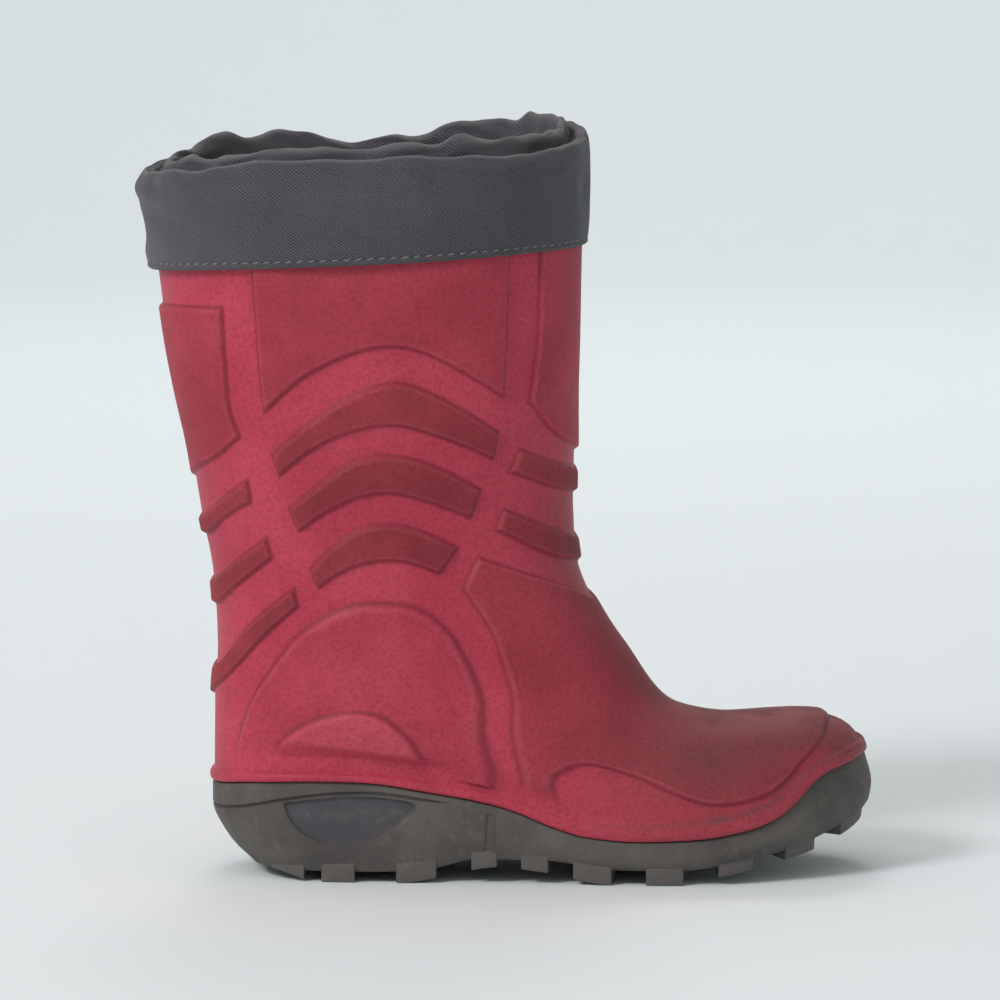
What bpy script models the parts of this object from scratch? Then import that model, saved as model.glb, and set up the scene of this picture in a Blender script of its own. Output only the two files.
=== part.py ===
"""A child's pull-on winter boot, the right one of a pair.

A moulded foam upper stands on a rubber outsole. A folded cloth cuff straddles the top of the
shaft, and a thin insole lies on the footbed. The toe points along +X, the outer side of the foot
faces -Y, and +Z is up.
"""
import math
from collections import namedtuple

import bmesh
import bpy
import numpy as np
from mathutils.geometry import delaunay_2d_cdt

# Driving sizes, in metres
SOLE_LENGTH = 0.207
BALL_WIDTH = 0.081
SHAFT_WIDTH = 0.094
SIDE_HEIGHT = 0.032
SHAFT_HEIGHT = 0.212
WALL = 0.0032
RELIEF = 0.0015
LIP_DEPTH = 0.0014
UPPER_INSET = 0.0006
TOE_BUMPER = 0.0022
TOE_INSWING = 0.007
CUFF_RISE = 0.0180
CUFF_CLOTH = 0.0017
INSOLE_THICKNESS = 0.004
LUG_DEPTH = 0.012
LUG_PROUD = 0.0010
LUG_SHELF = 0.0028
LUG_TAPER = 0.0006
END_LUG_DEPTH = 0.010
SEAT_GAP = 0.0003
CUFF_GAP = 0.0006

# Mesh spacing, in metres
UPPER_SPACING = 0.0092
SOLE_SPACING = 0.0095
OUTLINE_SPACING = 0.0052
HALF_COLUMNS = 22
INNER_ROWS = 14

Width = namedtuple("Width", "along lateral medial")
Height = namedtuple("Height", "along up")
Ring = namedtuple("Ring", "level back_x back_z front_x front_z middle lateral medial")
Spot = namedtuple("Spot", "turn level")
Sheet = namedtuple("Sheet", "width height")
Relief = namedtuple("Relief", "height edge sides")
Wall = namedtuple("Wall", "drop back side toe")
CuffLine = namedtuple("CuffLine", "along hem rim")
Fold = namedtuple("Fold", "up out")
Lug = namedtuple("Lug", "heel_end toe_end")

# Flat work planes on which half of a skin is drawn, about as wide and high as that half is
UPPER_SHEET = Sheet(0.9 * SOLE_LENGTH, SHAFT_HEIGHT)
SOLE_SHEET = Sheet(1.15 * SOLE_LENGTH, 0.75 * SIDE_HEIGHT)

# Half widths of the sole as shares of the ball width, by shares of the sole length
SOLE_WIDTHS = (
    Width(0.00, 0.415, 0.400),
    Width(0.16, 0.425, 0.405),
    Width(0.36, 0.430, 0.345),
    Width(0.50, 0.455, 0.345),
    Width(0.66, 0.505, 0.490),
    Width(0.80, 0.520, 0.505),
    Width(1.00, 0.520, 0.500),
)
HEEL_ROUND = 0.165
TOE_ROUND = 0.300
HEEL_FULLNESS = 2.25
TOE_FULLNESS = 2.2

# The line where upper and outsole meet, as shares of the side height
FEATHER = (
    Height(0.000, 0.895),
    Height(0.065, 0.970),
    Height(0.160, 1.000),
    Height(0.230, 0.988),
    Height(0.330, 0.895),
    Height(0.410, 0.800),
    Height(0.455, 0.722),
    Height(0.510, 0.575),
    Height(0.565, 0.475),
    Height(0.640, 0.438),
    Height(0.720, 0.455),
    Height(0.800, 0.530),
    Height(0.850, 0.640),
    Height(0.880, 0.790),
    Height(0.905, 0.960),
    Height(0.930, 1.050),
    Height(0.965, 1.110),
    Height(1.000, 1.170),
)
FOOTBED = (
    Height(0.00, 0.690),
    Height(0.28, 0.680),
    Height(0.45, 0.500),
    Height(0.62, 0.300),
    Height(0.76, 0.330),
    Height(0.88, 0.480),
    Height(0.95, 0.640),
    Height(1.00, 0.760),
)
SOLE_BODY_FOOT = (
    Height(0.00, 0.110),
    Height(0.26, 0.110),
    Height(0.33, 0.140),
    Height(0.40, 0.240),
    Height(0.50, 0.235),
    Height(0.60, 0.150),
    Height(0.70, 0.145),
    Height(0.80, 0.225),
    Height(0.88, 0.330),
    Height(0.95, 0.470),
    Height(1.00, 0.560),
)
TREAD_RISE = (
    Height(0.00, 0.130),
    Height(0.10, 0.080),
    Height(0.16, 0.000),
    Height(0.29, 0.000),
    Height(0.34, 0.050),
    Height(0.43, 0.160),
    Height(0.50, 0.115),
    Height(0.60, 0.000),
    Height(0.715, 0.000),
    Height(0.76, 0.070),
    Height(0.86, 0.200),
    Height(0.92, 0.300),
    Height(1.00, 0.480),
)

# Rings of the base skin above the foot: x by the sole length, z and level by the shaft height,
# half widths by the shaft width
RINGS = (
    Ring(0.190, 0.0040, 0.262, 0.7180, 0.230, 0.300, 0.405, 0.385),
    Ring(0.310, 0.0085, 0.335, 0.6180, 0.332, 0.285, 0.400, 0.390),
    Ring(0.430, 0.0020, 0.445, 0.5570, 0.440, 0.275, 0.402, 0.400),
    Ring(0.520, -0.0140, 0.528, 0.5460, 0.530, 0.262, 0.420, 0.420),
    Ring(0.620, -0.0310, 0.630, 0.5470, 0.628, 0.252, 0.452, 0.452),
    Ring(0.710, -0.0490, 0.710, 0.5470, 0.712, 0.245, 0.478, 0.478),
    Ring(0.790, -0.0640, 0.788, 0.5490, 0.790, 0.240, 0.494, 0.494),
    Ring(0.890, -0.0770, 0.884, 0.5510, 0.902, 0.236, 0.500, 0.500),
    Ring(1.000, -0.0880, 0.984, 0.5540, 1.008, 0.232, 0.500, 0.500),
)
RING_FULLNESS = 2.15
FOOT_MIDDLE = 0.40

# Raised fields and ribs of one half of the upper. Each side is a smooth line of spots, and the
# sides meet at corners; a line that starts on the middle line runs on across it
FIELD_EDGE = 0.0011
DOME_EDGE = 0.0020
ARCH_RIBS = (
    Relief(RELIEF, FIELD_EDGE, (
        (Spot(0.675, 0.620), Spot(0.606, 0.668), Spot(0.532, 0.715), Spot(0.468, 0.738),
         Spot(0.405, 0.718)),
        (Spot(0.297, 0.657),),
        (Spot(0.310, 0.613), Spot(0.403, 0.650), Spot(0.473, 0.670), Spot(0.537, 0.657),
         Spot(0.595, 0.630)),
        (Spot(0.665, 0.588),),
    )),
    Relief(RELIEF, FIELD_EDGE, (
        (Spot(0.655, 0.542), Spot(0.588, 0.583), Spot(0.525, 0.616), Spot(0.475, 0.623),
         Spot(0.417, 0.608)),
        (Spot(0.335, 0.570),),
        (Spot(0.357, 0.527), Spot(0.422, 0.550), Spot(0.480, 0.565), Spot(0.528, 0.560),
         Spot(0.580, 0.540)),
        (Spot(0.642, 0.508),),
    )),
    Relief(RELIEF, FIELD_EDGE, (
        (Spot(0.635, 0.450), Spot(0.583, 0.490), Spot(0.533, 0.515), Spot(0.485, 0.522),
         Spot(0.440, 0.510)),
        (Spot(0.385, 0.485),),
        (Spot(0.425, 0.445), Spot(0.480, 0.464), Spot(0.528, 0.462), Spot(0.572, 0.448)),
        (Spot(0.623, 0.420),),
    )),
)
HEEL_RIBS = (
    Relief(RELIEF, FIELD_EDGE, (
        (Spot(1.000, 0.517), Spot(0.900, 0.528), Spot(0.810, 0.555)),
        (Spot(0.735, 0.583),),
        (Spot(0.733, 0.550), Spot(0.815, 0.523), Spot(0.900, 0.495), Spot(1.000, 0.487)),
    )),
    Relief(RELIEF, FIELD_EDGE, (
        (Spot(1.000, 0.415), Spot(0.900, 0.427), Spot(0.795, 0.463)),
        (Spot(0.713, 0.497),),
        (Spot(0.708, 0.465), Spot(0.792, 0.425), Spot(0.900, 0.385), Spot(1.000, 0.375)),
    )),
    Relief(RELIEF, FIELD_EDGE, (
        (Spot(1.000, 0.253), Spot(0.900, 0.287), Spot(0.810, 0.345)),
        (Spot(0.670, 0.420),),
        (Spot(0.665, 0.390), Spot(0.763, 0.328), Spot(0.890, 0.235), Spot(1.000, 0.185)),
    )),
)
SHIN_RIBS = (
    Relief(RELIEF, FIELD_EDGE, (
        (Spot(0.000, 0.583), Spot(0.160, 0.605)),
        (Spot(0.253, 0.628),),
        (Spot(0.278, 0.593), Spot(0.160, 0.565), Spot(0.000, 0.548)),
    )),
    Relief(RELIEF, FIELD_EDGE, (
        (Spot(0.000, 0.480), Spot(0.180, 0.508)),
        (Spot(0.292, 0.540),),
        (Spot(0.312, 0.508), Spot(0.180, 0.465), Spot(0.000, 0.446)),
    )),
)
LEG_FIELDS = (
    Relief(RELIEF, FIELD_EDGE, (
        (Spot(0.668, 0.875), Spot(0.668, 0.850), Spot(0.672, 0.760)),
        (Spot(0.676, 0.688), Spot(0.598, 0.743), Spot(0.527, 0.777), Spot(0.478, 0.790),
         Spot(0.427, 0.782), Spot(0.365, 0.753)),
        (Spot(0.285, 0.710), Spot(0.278, 0.807)),
        (Spot(0.274, 0.875),),
    )),
    Relief(RELIEF, FIELD_EDGE, (
        (Spot(1.000, 0.842),),
        (Spot(0.730, 0.845), Spot(0.738, 0.772), Spot(0.747, 0.690)),
        (Spot(0.736, 0.645), Spot(0.823, 0.608), Spot(1.000, 0.572)),
    )),
    Relief(RELIEF, FIELD_EDGE, (
        (Spot(0.000, 0.875),),
        (Spot(0.205, 0.875), Spot(0.208, 0.797)),
        (Spot(0.228, 0.700), Spot(0.150, 0.645), Spot(0.000, 0.612)),
    )),
)
VAMP_FIELD = Relief(RELIEF, FIELD_EDGE, (
    (Spot(0.000, 0.380), Spot(0.228, 0.436)),
    (Spot(0.352, 0.470),),
    (Spot(0.390, 0.422), Spot(0.361, 0.355), Spot(0.362, 0.295), Spot(0.380, 0.217),
     Spot(0.413, 0.140)),
    (Spot(0.452, 0.040), Spot(0.438, 0.072), Spot(0.403, 0.107), Spot(0.367, 0.122),
     Spot(0.338, 0.126), Spot(0.316, 0.098), Spot(0.300, 0.062)),
    (Spot(0.275, 0.042), Spot(0.240, 0.038), Spot(0.200, 0.040), Spot(0.158, 0.056),
     Spot(0.080, 0.088), Spot(0.000, 0.100)),
))
ANKLE_DOME = Relief(RELIEF, DOME_EDGE, (
    (Spot(0.820, 0.040), Spot(0.802, 0.150), Spot(0.758, 0.250), Spot(0.688, 0.333),
     Spot(0.620, 0.375), Spot(0.562, 0.395), Spot(0.512, 0.400), Spot(0.470, 0.393),
     Spot(0.436, 0.368), Spot(0.416, 0.330), Spot(0.410, 0.265), Spot(0.428, 0.175)),
    (Spot(0.480, 0.040),),
))
ANKLE_BOSS = Relief(0.0014, DOME_EDGE, (
    (Spot(0.770, 0.062), Spot(0.738, 0.100), Spot(0.680, 0.150), Spot(0.620, 0.184),
     Spot(0.568, 0.196), Spot(0.527, 0.182), Spot(0.510, 0.143), Spot(0.530, 0.090)),
    (Spot(0.548, 0.062),),
))
UPPER_RELIEFS = ARCH_RIBS + HEEL_RIBS + SHIN_RIBS + LEG_FIELDS + (
    VAMP_FIELD, ANKLE_DOME, ANKLE_BOSS,
)
LIP_TOP = 0.0170
LIP_FADE = 0.0225

# The outsole's outer wall: how far it is set in, as shares of the side height, by the share of
# the way down from the feather line
SOLE_WALL = (
    Wall(0.00, 0.000, 0.000, 0.085),
    Wall(0.25, 0.000, 0.000, 0.040),
    Wall(0.36, 0.010, 0.000, 0.020),
    Wall(0.55, 0.080, 0.000, 0.000),
    Wall(0.80, 0.215, 0.015, 0.020),
    Wall(0.92, 0.320, 0.035, 0.060),
    Wall(1.00, 0.390, 0.055, 0.110),
)
GROOVE_LEVELS = (0.245, 0.265, 0.295, 0.320)
GROOVE_DEPTH = 0.0008
WINDOW_DEPTH = -0.0009
STEP_DEPTH = -0.0007
SOLE_WINDOW = Relief(WINDOW_DEPTH, 0.0008, (
    (Spot(0.715, 0.360), Spot(0.708, 0.480), Spot(0.660, 0.640), Spot(0.600, 0.715),
     Spot(0.545, 0.690), Spot(0.505, 0.600), Spot(0.478, 0.480)),
    (Spot(0.462, 0.360),),
))
SOLE_STEP = Relief(STEP_DEPTH, 0.0008, (
    (Spot(0.400, 0.360),),
    (Spot(0.395, 0.880),),
    (Spot(0.378, 0.880),),
    (Spot(0.384, 0.360),),
))
SOLE_RELIEFS = (SOLE_WINDOW, SOLE_STEP)

# Edge lugs as shares of the sole length, from the heel to the toe
EDGE_LUGS = (
    Lug(0.075, 0.140),
    Lug(0.168, 0.218),
    Lug(0.280, 0.340),
    Lug(0.392, 0.430),
    Lug(0.466, 0.506),
    Lug(0.543, 0.600),
    Lug(0.652, 0.708),
    Lug(0.762, 0.815),
    Lug(0.866, 0.913),
)
CENTRE_LUGS = (
    Lug(0.115, 0.150),
    Lug(0.215, 0.262),
    Lug(0.570, 0.612),
    Lug(0.668, 0.712),
    Lug(0.770, 0.812),
)
CENTRE_LUG_REACH = 0.19
TOE_LUG_TURN = 0.12
HEEL_LUG_TURN = 0.90

# The cuff from the heel to the toe side of the shaft: its hem as a share of the shaft's height, and
# how far its rim stands above the shaft's top, as a share of the cuff's rise
CUFF_LINES = (
    CuffLine(0.00, 0.880, 0.600),
    CuffLine(0.30, 0.886, 0.790),
    CuffLine(0.60, 0.889, 0.780),
    CuffLine(1.00, 0.896, 0.740),
)

# The cuff's folded section in order around the cloth. up is 0 at the hem, 1 at the shaft's top edge
# and 2 at the rim; out is in metres from the base skin
INNER_HEM_UP = -0.10
CUFF_FOLD = (
    Fold(0.00, CUFF_GAP + CUFF_CLOTH),
    Fold(0.20, CUFF_GAP + 1.6 * CUFF_CLOTH),
    Fold(0.65, CUFF_GAP + 1.9 * CUFF_CLOTH),
    Fold(1.15, CUFF_GAP + 1.9 * CUFF_CLOTH),
    Fold(1.75, CUFF_GAP + 1.7 * CUFF_CLOTH),
    Fold(1.95, CUFF_GAP + 0.8 * CUFF_CLOTH),
    Fold(2.00, -0.30 * WALL),
    Fold(2.00, -0.80 * WALL),
    Fold(1.90, -WALL - SEAT_GAP - 0.6 * CUFF_CLOTH),
    Fold(1.60, -WALL - SEAT_GAP - 1.2 * CUFF_CLOTH),
    Fold(0.50, -WALL - SEAT_GAP - 1.2 * CUFF_CLOTH),
    Fold(INNER_HEM_UP, -WALL - SEAT_GAP - CUFF_CLOTH),
    Fold(INNER_HEM_UP, -WALL - SEAT_GAP),
    Fold(0.45, -WALL - SEAT_GAP),
    Fold(1.00, -WALL - SEAT_GAP),
    Fold(1.00, CUFF_GAP),
    Fold(0.50, CUFF_GAP),
    Fold(0.00, CUFF_GAP),
)


def smooth(rows, column, share):
    """Read a column of a table at a share, on a smooth curve that doesn't overshoot."""
    at = np.array([row[0] for row in rows])
    value = np.array([getattr(row, column) for row in rows])
    step = np.diff(at)
    slope = np.diff(value) / step
    tangent = np.zeros(len(at))
    same_way = slope[:-1] * slope[1:] > 0
    mean = 2 * slope[:-1] * slope[1:] / np.where(same_way, slope[:-1] + slope[1:], 1)
    tangent[1:-1] = np.where(same_way, mean, 0)
    tangent[0], tangent[-1] = slope[0], slope[-1]
    share = np.clip(share, at[0], at[-1])
    row = np.clip(np.searchsorted(at, share, side="right") - 1, 0, len(step) - 1)
    t = (share - at[row]) / step[row]
    return (
        (2 * t**3 - 3 * t**2 + 1) * value[row]
        + (t**3 - 2 * t**2 + t) * step[row] * tangent[row]
        + (3 * t**2 - 2 * t**3) * value[row + 1]
        + (t**3 - t**2) * step[row] * tangent[row + 1]
    )


def inswing(x):
    """Shift of the middle line towards the inner side, which makes this a right boot."""
    forward = np.clip(x / SOLE_LENGTH - 0.45, 0, None) / 0.55
    return TOE_INSWING * forward**2


def half_width(x, side):
    """Half width of the sole's outline at x, for side -1 (outer) or +1 (inner)."""
    share = np.clip(x / SOLE_LENGTH, 0, 1)
    width = smooth(SOLE_WIDTHS, "lateral" if side < 0 else "medial", share) * BALL_WIDTH
    heel = np.clip(1 - share / HEEL_ROUND, 0, 1)
    toe = np.clip(1 - (1 - share) / TOE_ROUND, 0, 1)
    heel_end = (1 - heel**HEEL_FULLNESS) ** (1 / HEEL_FULLNESS)
    toe_end = (1 - toe**TOE_FULLNESS) ** (1 / TOE_FULLNESS)
    return width * heel_end * toe_end


def outline(turn, side):
    """Point of the sole's outline, with turn 0 at the toe and 1 at the heel."""
    cosine = np.cos(math.pi * turn)
    middle = FOOT_MIDDLE * SOLE_LENGTH
    x = middle + np.where(cosine > 0, SOLE_LENGTH - middle, middle) * cosine
    y = side * half_width(x, side)
    return np.stack([x, y], axis=-1)


def inset_outline(turn, side, inset):
    """The sole's outline moved inwards by inset, before the inswing."""
    step = 0.002
    point = outline(turn, side)
    ahead = outline(np.clip(turn + step, 0, 1), side)
    behind = outline(np.clip(turn - step, 0, 1), side)
    along = ahead - behind
    along /= np.linalg.norm(along, axis=-1, keepdims=True)
    inward = side * np.stack([-along[..., 1], along[..., 0]], axis=-1)
    on_middle = (turn < 1e-6) | (turn > 1 - 1e-6)
    facing = np.where(turn < 0.5, -1.0, 1.0)
    inward[..., 0] = np.where(on_middle, facing, inward[..., 0])
    inward[..., 1] = np.where(on_middle, 0.0, inward[..., 1])
    moved = point + inward * np.asarray(inset)[..., None]
    moved[..., 1] = side * np.maximum(side * moved[..., 1], 0)
    return moved


def upper_inset(turn):
    """How far the upper's foot line is set in from the sole's outline."""
    return UPPER_INSET + TOE_BUMPER * np.clip(1 - 3 * turn, 0, 1) ** 2


def lengthwise(rows, x):
    """Height above the floor that a table gives at x."""
    return smooth(rows, "up", x / SOLE_LENGTH) * SIDE_HEIGHT


def with_inswing(x, y, z):
    return np.stack([x, y + inswing(x), z], axis=-1)


def ring_points(turn, side):
    """All key rings of the skin above the foot at one turn: an array of ring, point, xyz."""
    cosine = np.cos(math.pi * turn)
    sine = np.sin(math.pi * turn)
    power = 2 / RING_FULLNESS
    points = []
    for ring in RINGS:
        reach = np.where(cosine > 0, ring.front_x - ring.middle, ring.middle - ring.back_x)
        x = (ring.middle + reach * np.sign(cosine) * np.abs(cosine) ** power) * SOLE_LENGTH
        half = (ring.lateral if side < 0 else ring.medial) * SHAFT_WIDTH
        y = side * half * np.abs(sine) ** power
        run = (x / SOLE_LENGTH - ring.back_x) / (ring.front_x - ring.back_x)
        z = (ring.back_z + (ring.front_z - ring.back_z) * run) * SHAFT_HEIGHT
        points.append(np.stack([x, y, z], axis=-1))
    return np.array(points)


def base_skin(turn, level, side):
    """Point of the upper's outer skin without its relief.

    turn runs from 0 at the toe to 1 at the heel, level from 0 at the feather line to 1 at the
    top of the shaft.
    """
    turn, level = np.broadcast_arrays(np.asarray(turn, float), np.asarray(level, float))
    rings = ring_points(turn, side)
    plan = inset_outline(turn, side, upper_inset(turn))
    foot = np.stack([plan[..., 0], plan[..., 1], lengthwise(FEATHER, plan[..., 0])], axis=-1)
    vamp = rings[0]
    # Direction of the skin at the vamp ring: level over the toes, upright at the sides
    across = foot[..., :2] - vamp[..., :2]
    span = np.linalg.norm(foot - vamp, axis=-1)
    flat = across / np.maximum(np.linalg.norm(across, axis=-1), 1e-6)[..., None]
    forward = np.clip(1 - 2 * turn, 0, 1)
    lean = math.pi / 2 * (0.12 + 0.88 * (1 - forward) ** 1.3)
    vamp_way = np.stack(
        [-flat[..., 0] * np.cos(lean), -flat[..., 1] * np.cos(lean), np.sin(lean)], axis=-1
    )
    foot_way = np.stack([-0.25 * forward * flat[..., 0], 0 * lean, 1 + 0 * lean], axis=-1)
    foot_pull = (0.35 - 0.17 * forward**3) * span
    vamp_pull = (0.34 + 0.34 * forward**2) * span
    first = foot + foot_way * foot_pull[..., None]
    second = vamp - vamp_way * vamp_pull[..., None]
    t = np.clip(level / RINGS[0].level, 0, 1)[..., None]
    low = (1 - t) ** 3 * foot + 3 * t * (1 - t) ** 2 * first
    low = low + 3 * t**2 * (1 - t) * second + t**3 * vamp
    high = shaft_skin(rings, vamp_way * (0.55 * span)[..., None], level)
    point = np.where(level[..., None] < RINGS[0].level, low, high)
    return with_inswing(point[..., 0], point[..., 1], point[..., 2])


def shaft_skin(rings, first_tangent, level):
    """A smooth skin through the key rings from the vamp up."""
    levels = np.array([ring.level for ring in RINGS])
    tangents = np.zeros_like(rings)
    tangents[1:-1] = (rings[2:] - rings[:-2]) / (levels[2:] - levels[:-2])[:, None, None]
    tangents[-1] = (rings[-1] - rings[-2]) / (levels[-1] - levels[-2])
    tangents[0] = first_tangent / (levels[1] - levels[0])
    flat_level = np.clip(level, levels[0], levels[-1])
    row = np.clip(np.searchsorted(levels, flat_level, side="right") - 1, 0, len(levels) - 2)
    step = levels[row + 1] - levels[row]
    t = ((flat_level - levels[row]) / step)[..., None]
    pick = np.arange(rings.shape[1])
    start, end = rings[row, pick], rings[row + 1, pick]
    leave, arrive = tangents[row, pick], tangents[row + 1, pick]
    step = step[..., None]
    return (
        (2 * t**3 - 3 * t**2 + 1) * start
        + (t**3 - 2 * t**2 + t) * step * leave
        + (3 * t**2 - 2 * t**3) * end
        + (t**3 - t**2) * step * arrive
    )


def skin_normal(turn, level, side):
    """Outward direction of the base skin, without a sideways part on the middle line."""
    step = 0.004
    along = base_skin(np.clip(turn + step, 0, 1), level, side)
    along -= base_skin(np.clip(turn - step, 0, 1), level, side)
    up = base_skin(turn, np.clip(level + step, 0, 1), side)
    up -= base_skin(turn, np.clip(level - step, 0, 1), side)
    normal = -side * np.cross(up, along)
    on_middle = (turn < 1e-6) | (turn > 1 - 1e-6)
    normal[..., 1] = np.where(on_middle, 0, normal[..., 1])
    return normal / np.linalg.norm(normal, axis=-1, keepdims=True)


def skin_at(turn, level, side, offset):
    """Point at a distance outside (or, if negative, inside) the base skin."""
    turn = np.asarray(turn, float)
    level = np.broadcast_to(np.asarray(level, float), turn.shape)
    offset = np.broadcast_to(np.asarray(offset, float), turn.shape)
    point = base_skin(turn, level, side)
    return point + skin_normal(turn, level, side) * offset[..., None]


def flat_spot(spot, sheet):
    """A spot's place on the flat work plane."""
    return np.array([spot.turn * sheet.width, spot.level * sheet.height])


def rounded_line(points, spacing):
    """A smooth line through points, cut into even steps; its last point is left out."""
    points = np.array(points)
    if len(points) == 2:
        count = max(1, round(np.linalg.norm(points[1] - points[0]) / spacing))
        return points[0] + (points[1] - points[0]) * np.arange(count)[:, None] / count
    padded = np.vstack([2 * points[0] - points[1], points, 2 * points[-1] - points[-2]])
    fine = []
    for before, start, end, after in zip(padded, padded[1:], padded[2:], padded[3:]):
        t = np.linspace(0, 1, 12, endpoint=False)[:, None]
        fine.append(
            0.5 * (2 * start + (end - before) * t
                   + (2 * before - 5 * start + 4 * end - after) * t**2
                   + (3 * start - before - 3 * end + after) * t**3)
        )
    fine = np.vstack(fine + [points[-1:]])
    length = np.concatenate([[0], np.cumsum(np.linalg.norm(np.diff(fine, axis=0), axis=1))])
    count = max(2, round(length[-1] / spacing))
    even = np.linspace(0, length[-1], count, endpoint=False)
    return np.stack([np.interp(even, length, fine[:, axis]) for axis in (0, 1)], axis=-1)


def crosses_middle(relief):
    first, last = relief.sides[0][0], relief.sides[-1][-1]
    return first.turn == last.turn and first.turn in (0.0, 1.0)


def relief_line(relief, sheet, spacing):
    """The foot line of a relief on the work plane."""
    open_ended = crosses_middle(relief)
    line = []
    for index, side in enumerate(relief.sides):
        points = [flat_spot(spot, sheet) for spot in side]
        last_side = index + 1 == len(relief.sides)
        if not last_side:
            points.append(flat_spot(relief.sides[index + 1][0], sheet))
        elif not open_ended:
            points.append(flat_spot(relief.sides[0][0], sheet))
        if len(points) > 1:
            line.append(rounded_line(points, spacing))
        if last_side and open_ended:
            line.append(points[-1][None])
    return np.vstack(line)


def inset_line(line, open_ended, inset):
    """A line moved inwards by inset; the ends of an open one slide along the middle line."""
    ahead = np.roll(line, -1, axis=0) - line
    ahead /= np.linalg.norm(ahead, axis=1, keepdims=True)
    area = np.sum(line[:, 0] * np.roll(line[:, 1], -1) - np.roll(line[:, 0], -1) * line[:, 1])
    turn = 1 if area > 0 else -1
    normal = turn * np.stack([-ahead[:, 1], ahead[:, 0]], axis=1)
    both = normal + np.roll(normal, 1, axis=0)
    both /= np.maximum(np.linalg.norm(both, axis=1, keepdims=True), 1e-9)
    stretch = 1 / np.maximum(np.sum(both * normal, axis=1, keepdims=True), 0.45)
    moved = line + both * stretch * inset
    if open_ended:
        middle = (line[0] + line[-1]) / 2
        for end in (0, -1):
            moved[end] = line[end] + [0, math.copysign(inset, middle[1] - line[end][1])]
    return moved


def inside(points, line):
    """Whether each point lies inside a closed line."""
    found = np.zeros(len(points), bool)
    for start, end in zip(line, np.roll(line, -1, axis=0)):
        spans = (start[1] > points[:, 1]) != (end[1] > points[:, 1])
        with np.errstate(divide="ignore", invalid="ignore"):
            cross = start[0] + (points[:, 1] - start[1]) * (end[0] - start[0]) / (end[1] - start[1])
        found ^= spans & (points[:, 0] < cross)
    return found


def distance_to(points, lines):
    """Shortest distance from each point to any of the lines, each with its closing flag."""
    best = np.full(len(points), np.inf)
    for line, open_ended in lines:
        ends = line[1:] if open_ended else np.roll(line, -1, axis=0)
        for start, end in zip(line, ends):
            way = end - start
            t = np.clip((points - start) @ way / max(way @ way, 1e-12), 0, 1)
            best = np.minimum(best, np.linalg.norm(points - start - t[:, None] * way, axis=1))
    return best


def half_pattern(reliefs, sheet, levels, spacing, line_spacing):
    """Triangles of a half skin on the work plane, which follow every relief's lines.

    Returns each point's turn and level, the height of the reliefs there, and the triangles.
    levels are the rows that run right round, of which the first is the foot and the last the top.
    """
    across = np.linspace(0, sheet.width, HALF_COLUMNS + 1)
    rows = [np.stack([across, np.full(HALF_COLUMNS + 1, level * sheet.height)], axis=1)
            for level in levels]
    lines, heights, tops = [], [], []
    for relief in reliefs:
        foot = relief_line(relief, sheet, line_spacing)
        top = inset_line(foot, crosses_middle(relief), relief.edge)
        lines += [(foot, crosses_middle(relief)), (top, crosses_middle(relief))]
        tops.append(top)
    for index, relief in enumerate(reliefs):
        for place, line in enumerate((lines[2 * index][0], tops[index])):
            height = np.full(len(line), relief.height * place)
            for other, (other_relief, other_top) in enumerate(zip(reliefs, tops)):
                if other != index:
                    height += other_relief.height * inside(line, other_top)
            heights.append(height)
    across = max(2, round(sheet.width / spacing))
    up = max(2, round((levels[-1] - levels[-2]) * sheet.height / spacing))
    grid_a, grid_b = np.meshgrid(np.linspace(0, 1, across + 1), np.linspace(0, 1, up + 1)[1:-1])
    shift = 0.5 * (np.arange(up - 1) % 2)[:, None] / across
    inner = (grid_a > 0) & (grid_a < 1)
    grid_a = np.where(inner, np.clip(grid_a + shift - 0.25 / across, 0.02, 0.98), grid_a)
    base = levels[-2] * sheet.height
    grid = np.stack([grid_a.ravel() * sheet.width,
                     base + grid_b.ravel() * (levels[-1] * sheet.height - base)], axis=1)
    clear = np.where((grid[:, 0] == 0) | (grid[:, 0] == sheet.width), 0.25, 0.42) * spacing
    grid = grid[distance_to(grid, lines) > clear]
    grid_height = sum(
        (relief.height * inside(grid, top) for relief, top in zip(reliefs, tops)),
        np.zeros(len(grid)),
    )
    groups = rows + [line for line, open_ended in lines] + [grid]
    raised = [np.zeros(len(row)) for row in rows] + heights + [grid_height]
    edges, start = [], 0
    for group, (size, closed) in enumerate(
        [(len(row), False) for row in rows] + [(len(line), not flag) for line, flag in lines]
    ):
        edges += [(start + step, start + step + 1) for step in range(size - 1)]
        if closed:
            edges.append((start + size - 1, start))
        start += size
    flat = np.vstack(groups)
    raised = np.concatenate(raised)
    result = delaunay_2d_cdt([tuple(point) for point in flat], edges, [], 0, 1e-7)
    spots = np.array([(point[0], point[1]) for point in result[0]])
    lift = np.array([max((raised[source] for source in sources), key=abs, default=0.0)
                     for sources in result[3]])
    turn = np.clip(spots[:, 0] / sheet.width, 0, 1)
    turn[turn < 1e-5] = 0
    turn[turn > 1 - 1e-5] = 1
    return turn, spots[:, 1] / sheet.height, lift, [tuple(face) for face in result[2]]


def lip_offset(level):
    """The flange that runs round the foot of the upper."""
    fade = np.clip((LIP_FADE - level) / (LIP_FADE - LIP_TOP), 0, 1)
    return LIP_DEPTH * fade


def upper_point(turn, level, side, lift):
    """Outer face of the upper; its bottom row stands on the sole's rim."""
    point = skin_at(turn, level, side, lift + lip_offset(level))
    plan = inset_outline(turn, side, upper_inset(turn) - LIP_DEPTH)
    height = lengthwise(FEATHER, outline(turn, side)[..., 0])
    bottom = with_inswing(plan[..., 0], plan[..., 1], height)
    return np.where((level < 1e-6)[..., None], bottom, point)


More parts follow.
